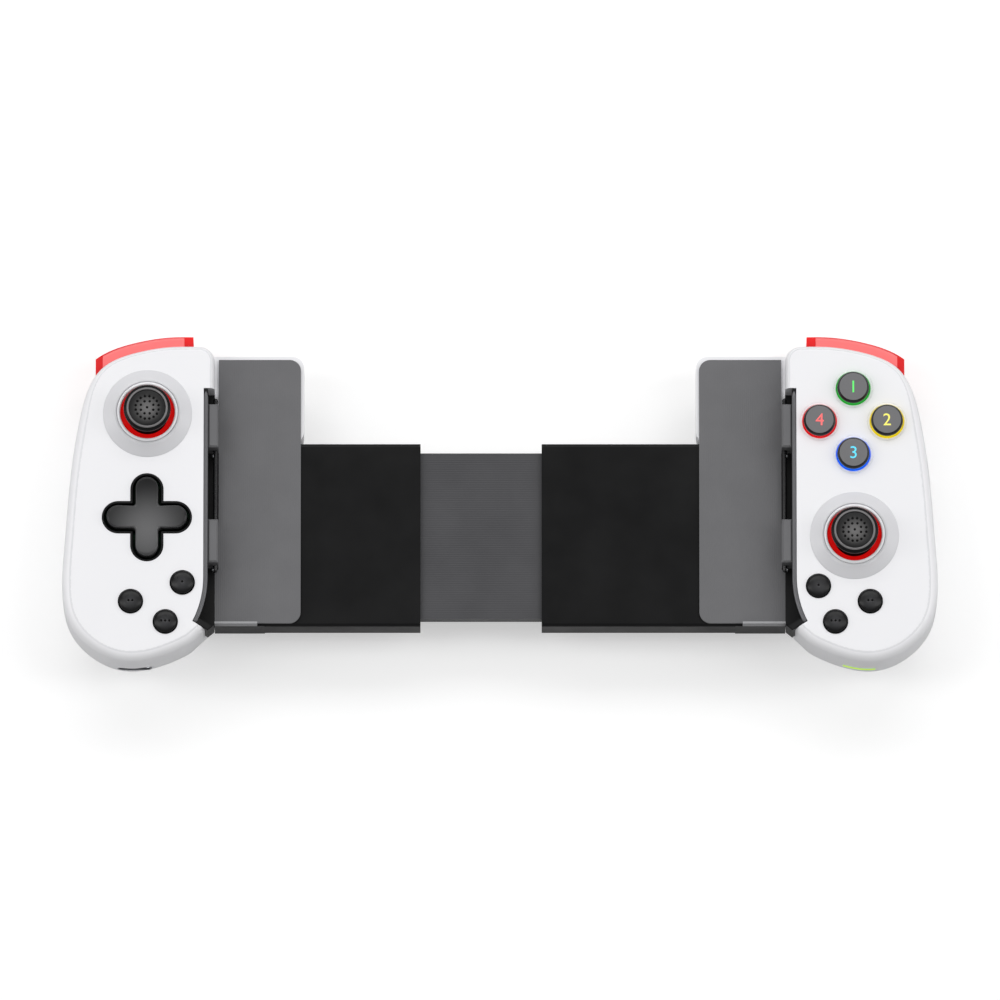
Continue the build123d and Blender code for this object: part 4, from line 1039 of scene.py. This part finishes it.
def clamp_bead(side):
    """Rolled rim on the clamp's wall, grey as a painted highlight on the black wall's top: p + across w s
    cos a + up h s sin a along a path p.

    The path runs straight down the wall to its bend, then along the arc that touches it there
    and ends at the heel. s is 1, and falls as a square root to 0 at the two ends.
    """
    sign = outward(side)
    low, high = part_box(side + "_clamp_bracket")
    heel = max(abs(low[0]), abs(high[0])) / MM
    lean, drop = heel - CLAMP_WALL, CLAMP_BEND - CLAMP_HEEL
    radius = (lean ** 2 + drop ** 2) / (2 * lean)
    turn = np.linspace(0, math.asin(drop / radius), BEAD_BEND_STEPS)
    straight = np.linspace(high[1] / MM - BEAD_END, CLAMP_BEND, BEAD_STEPS, endpoint=False)
    arc_x = CLAMP_WALL + radius - radius * np.cos(turn)
    path_x = np.concatenate([np.full(BEAD_STEPS, CLAMP_WALL), arc_x])
    path_y = np.concatenate([straight, CLAMP_BEND - radius * np.sin(turn)])
    across_x = np.concatenate([np.ones(BEAD_STEPS), np.cos(turn)])
    across_y = np.concatenate([np.zeros(BEAD_STEPS), np.sin(turn)])
    length = np.linspace(0, 1, len(path_x))
    size = np.minimum(1, np.sqrt(np.minimum(length, 1 - length) / BEAD_TAPER))
    middle_x = path_x - across_x * BEAD_HALF_WIDTH
    middle_y = path_y - across_y * BEAD_HALF_WIDTH
    around = angles_round(BEAD_CORNERS)
    out = BEAD_HALF_WIDTH * size[:, None] * np.cos(around)
    x = sign * (middle_x[:, None] + across_x[:, None] * out)
    y = middle_y[:, None] + across_y[:, None] * out
    z = FACE_Z / MM + BEAD_LEVEL + BEAD_HALF_HEIGHT * size[:, None] * np.sin(around)
    points = np.stack([x, y, z], axis=-1).reshape(-1, 3) * MM
    faces = grid_faces(len(path_x), BEAD_CORNERS, True)[:, ::sign]
    bead = mesh_piece(side + "_clamp_bead", points, faces, [BEAD_PAINTED_HIGHLIGHT], side + "_handle")


def pad_wall(side):
    """Distance from the middle plane to the outer side of a handle's edge pads."""
    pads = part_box(side + "_grip_pads")
    return max(abs(pads[0][0]), abs(pads[1][0]))


def clamp_screws(side):
    """Small bright domes (r cos t, h sin t) on the clamp's rod, one past each end of both edge pads."""
    x = outward(side) * (pad_wall(side) - SCREW_INSET * MM)
    quarter = np.linspace(0, math.pi / 2, SCREW_STEPS)[:, None]
    dome = np.hstack([SCREW_RADIUS * np.cos(quarter), SCREW_HEIGHT * np.sin(quarter)])
    profile = np.vstack([[[0.0, -SCREW_HEIGHT]], [[SCREW_RADIUS, -SCREW_HEIGHT]], dome])
    for number, y in enumerate(PAD_ENDS, start=1):
        centre = (x, y * MM, FACE_Z + ROD_LEVEL * MM)
        screw = turned_piece(
            f"{side}_pad_screw_{number}", profile, centre, SCREW_CORNERS, [FINISHES["steel"]],
            side + "_handle",
        )


def clamp_rod(side):
    """Black rod in the clamp's channel."""
    low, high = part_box(side + "_clamp_bracket")
    x = outward(side) * (pad_wall(side) - ROD_INSET * MM)
    z = FACE_Z + ROD_LEVEL * MM
    bottom, top = low[1] + ROD_BOTTOM * MM, high[1] - ROD_TOP * MM
    rod_along_y(side + "_clamp_rod", x, bottom, top, z, ROD_RADIUS * MM, ROD_BLACK, side + "_handle")


# Flexible pieces inside the bridge

def swept(path, half_width, half_height, corners, squareness):
    """Closed tube along a path: p + n w |cos a|^q sign(cos a) + b h |sin a|^q sign(sin a).

    n is the direction nearest to Y at right angles to the path, and b is the unit vector at
    right angles to both; the two ends close on the path's own end points.
    """
    along = np.gradient(path, axis=0)
    along /= np.linalg.norm(along, axis=1)[:, None]
    sideways = np.array([0.0, 1.0, 0.0]) - along * along[:, 1:2]
    sideways /= np.linalg.norm(sideways, axis=1)[:, None]
    across = np.cross(along, sideways)
    angle = angles_round(corners)[0]
    out = np.sign(np.cos(angle)) * np.abs(np.cos(angle)) ** squareness * half_width
    up = np.sign(np.sin(angle)) * np.abs(np.sin(angle)) ** squareness * half_height
    size = np.ones(len(path))
    size[0] = size[-1] = 0
    ring = sideways[:, None, :] * out[None, :, None] + across[:, None, :] * up[None, :, None]
    points = path[:, None, :] + ring * size[:, None, None]
    return points.reshape(-1, 3), grid_faces(len(path), corners, True)


def stretched(name, points, faces, material, node):
    """Piece that stretches between the bridge and a handle."""
    piece = mesh_piece(name, points, faces, [material], None, node)
    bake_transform(piece)
    return piece


def ribbon_half(side):
    """Half of the flat ribbon: along the bridge, up and back over itself, and up to the board."""
    low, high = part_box("flex_ribbon")
    lane = (low[1] + high[1]) / 2
    bottom = low[2] + RIBBON_THICKNESS * MM / 2
    turn = high[0] - RIBBON_THICKNESS * MM / 2
    fold = bottom + RIBBON_RISE * MM
    entry = turn - RIBBON_SPARE * MM
    bend = RIBBON_BEND * MM
    route = sampled(
        [(0.0, bottom), (turn / 2, bottom), (turn - bend, bottom), (turn, bottom + bend),
         (turn, fold - bend), (turn - bend, fold), (entry + bend, fold), (entry, fold + bend),
         (entry, high[2])], RIBBON_STEPS
    )
    route = rounded(route, EDGE_PASSES)
    path = np.stack([outward(side) * route[:, 0], np.full(len(route), lane), route[:, 1]], axis=-1)
    half_width, half_height = (high[1] - low[1]) / 2, RIBBON_THICKNESS * MM / 2
    points, faces = swept(path, half_width, half_height, RIBBON_CORNERS, FLAT_SECTION)
    ribbon = stretched(
        side + "_ribbon", points, faces, FINISHES["ribbon_amber"], "flex_ribbon",
    )


def return_spring(side):
    """Coil from the centre plate's stop to the sleeve: (x, y0 + R cos t, z0 + R sin t), x in step with t."""
    low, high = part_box("return_springs")
    radius = (high[1] - low[1]) / 2 - SPRING_WIRE * MM / 2
    share = np.linspace(0, 1, SPRING_TURNS * SPRING_STEPS)
    angle = share * SPRING_TURNS * 2 * math.pi
    start, end = SPRING_INNER * MM, high[0] - SPRING_WIRE * MM / 2
    path = np.stack(
        [outward(side) * (start + (end - start) * share), (low[1] + high[1]) / 2 + radius * np.cos(angle),
         (low[2] + high[2]) / 2 + radius * np.sin(angle)], axis=-1
    )
    wire = SPRING_WIRE * MM / 2
    points, faces = swept(path, wire, wire, SPRING_CORNERS, ROUND_SECTION)
    spring = stretched(
        side + "_return_coil", points, faces, FINISHES["steel"], "return_springs"
    )


# Light and camera

def stage():
    """Pale floor that keeps the object's shadow and shows white to the camera, and soft light."""
    mesh = bpy.data.meshes.new("floor")
    corners = [(x * FLOOR_HALF, y * FLOOR_HALF, 0) for x, y in ((-1, -1), (1, -1), (1, 1), (-1, 1))]
    mesh.from_pydata(corners, [], [(0, 1, 2, 3)])
    floor = bpy.data.objects.new("floor", mesh)
    bpy.context.scene.collection.objects.link(floor)
    material, tree, shader = principled("floor")
    shader.inputs["Base Color"].default_value = (FLOOR_GREY, FLOOR_GREY, FLOOR_GREY, 1)
    shader.inputs["Roughness"].default_value = FLOOR_ROUGHNESS
    shader.inputs["Specular IOR Level"].default_value = FLOOR_SPECULAR
    seen = tree.nodes.new("ShaderNodeLightPath")
    glow = tree.nodes.new("ShaderNodeEmission")
    glow.inputs["Color"].default_value = (1, 1, 1, 1)
    strength = result(tree, "MULTIPLY", seen.outputs["Is Camera Ray"], FLOOR_GLOW)
    tree.links.new(strength, glow.inputs["Strength"])
    both = tree.nodes.new("ShaderNodeAddShader")
    tree.links.new(shader.outputs[0], both.inputs[0])
    tree.links.new(glow.outputs[0], both.inputs[1])
    tree.links.new(both.outputs[0], tree.nodes["Material Output"].inputs["Surface"])
    mesh.materials.append(material)

    world = bpy.data.worlds.new("studio")
    bpy.context.scene.world = world
    world.use_nodes = True
    world.node_tree.nodes["Background"].inputs["Color"].default_value = (1, 1, 1, 1)
    world.node_tree.nodes["Background"].inputs["Strength"].default_value = WORLD_GLOW
    for name, (place, width, height, power) in SOFTBOXES.items():
        softbox(name, place, width, height, power)


def softbox(name, place, width, height, power):
    """Rectangular area lamp that faces the middle of the object."""
    light = bpy.data.lights.new(name, "AREA")
    light.shape = "RECTANGLE"
    light.size = width
    light.size_y = height
    light.energy = power
    lamp = bpy.data.objects.new(name, light)
    lamp.location = place
    lamp.rotation_euler = (-Vector(place)).to_track_quat("-Z", "Y").to_euler()
    bpy.context.scene.collection.objects.link(lamp)


def camera():
    """Long lens at the photograph's angle, aimed at the level of the handles' faces."""
    data = bpy.data.cameras.new("camera")
    data.sensor_width = SENSOR_WIDTH
    data.lens = data.sensor_width * CAMERA_DISTANCE / FRAME_WIDTH
    data.clip_end = CAMERA_CLIP
    aim = Vector((FRAME_CENTRE[0], FRAME_CENTRE[1], FACE_Z))
    back = Vector((0, -math.cos(CAMERA_ELEVATION), math.sin(CAMERA_ELEVATION)))
    seen_from = bpy.data.objects.new("camera", data)
    seen_from.location = aim + back * CAMERA_DISTANCE
    seen_from.rotation_euler = (-back).to_track_quat("-Z", "Y").to_euler()
    bpy.context.scene.collection.objects.link(seen_from)
    bpy.context.scene.camera = seen_from


dress_frame()
for side in SIDES:
    stick_cap(side)
    stick_boot(side)
    stick_collar(side)
    stick_glow(side)
    clamp_bead(side)
    clamp_rod(side)
    clamp_screws(side)
    ribbon_half(side)
    return_spring(side)
    for marks, name in enumerate(("upper", "outer", "lower"), start=1):
        small_button(side, name, marks)
for digit, name in enumerate(("top", "outer", "bottom", "inner"), start=1):
    action_button(name, str(digit))
    action_glow(name)
cross_key()
stage()
camera()
bpy.context.scene.view_settings.view_transform = "Standard"
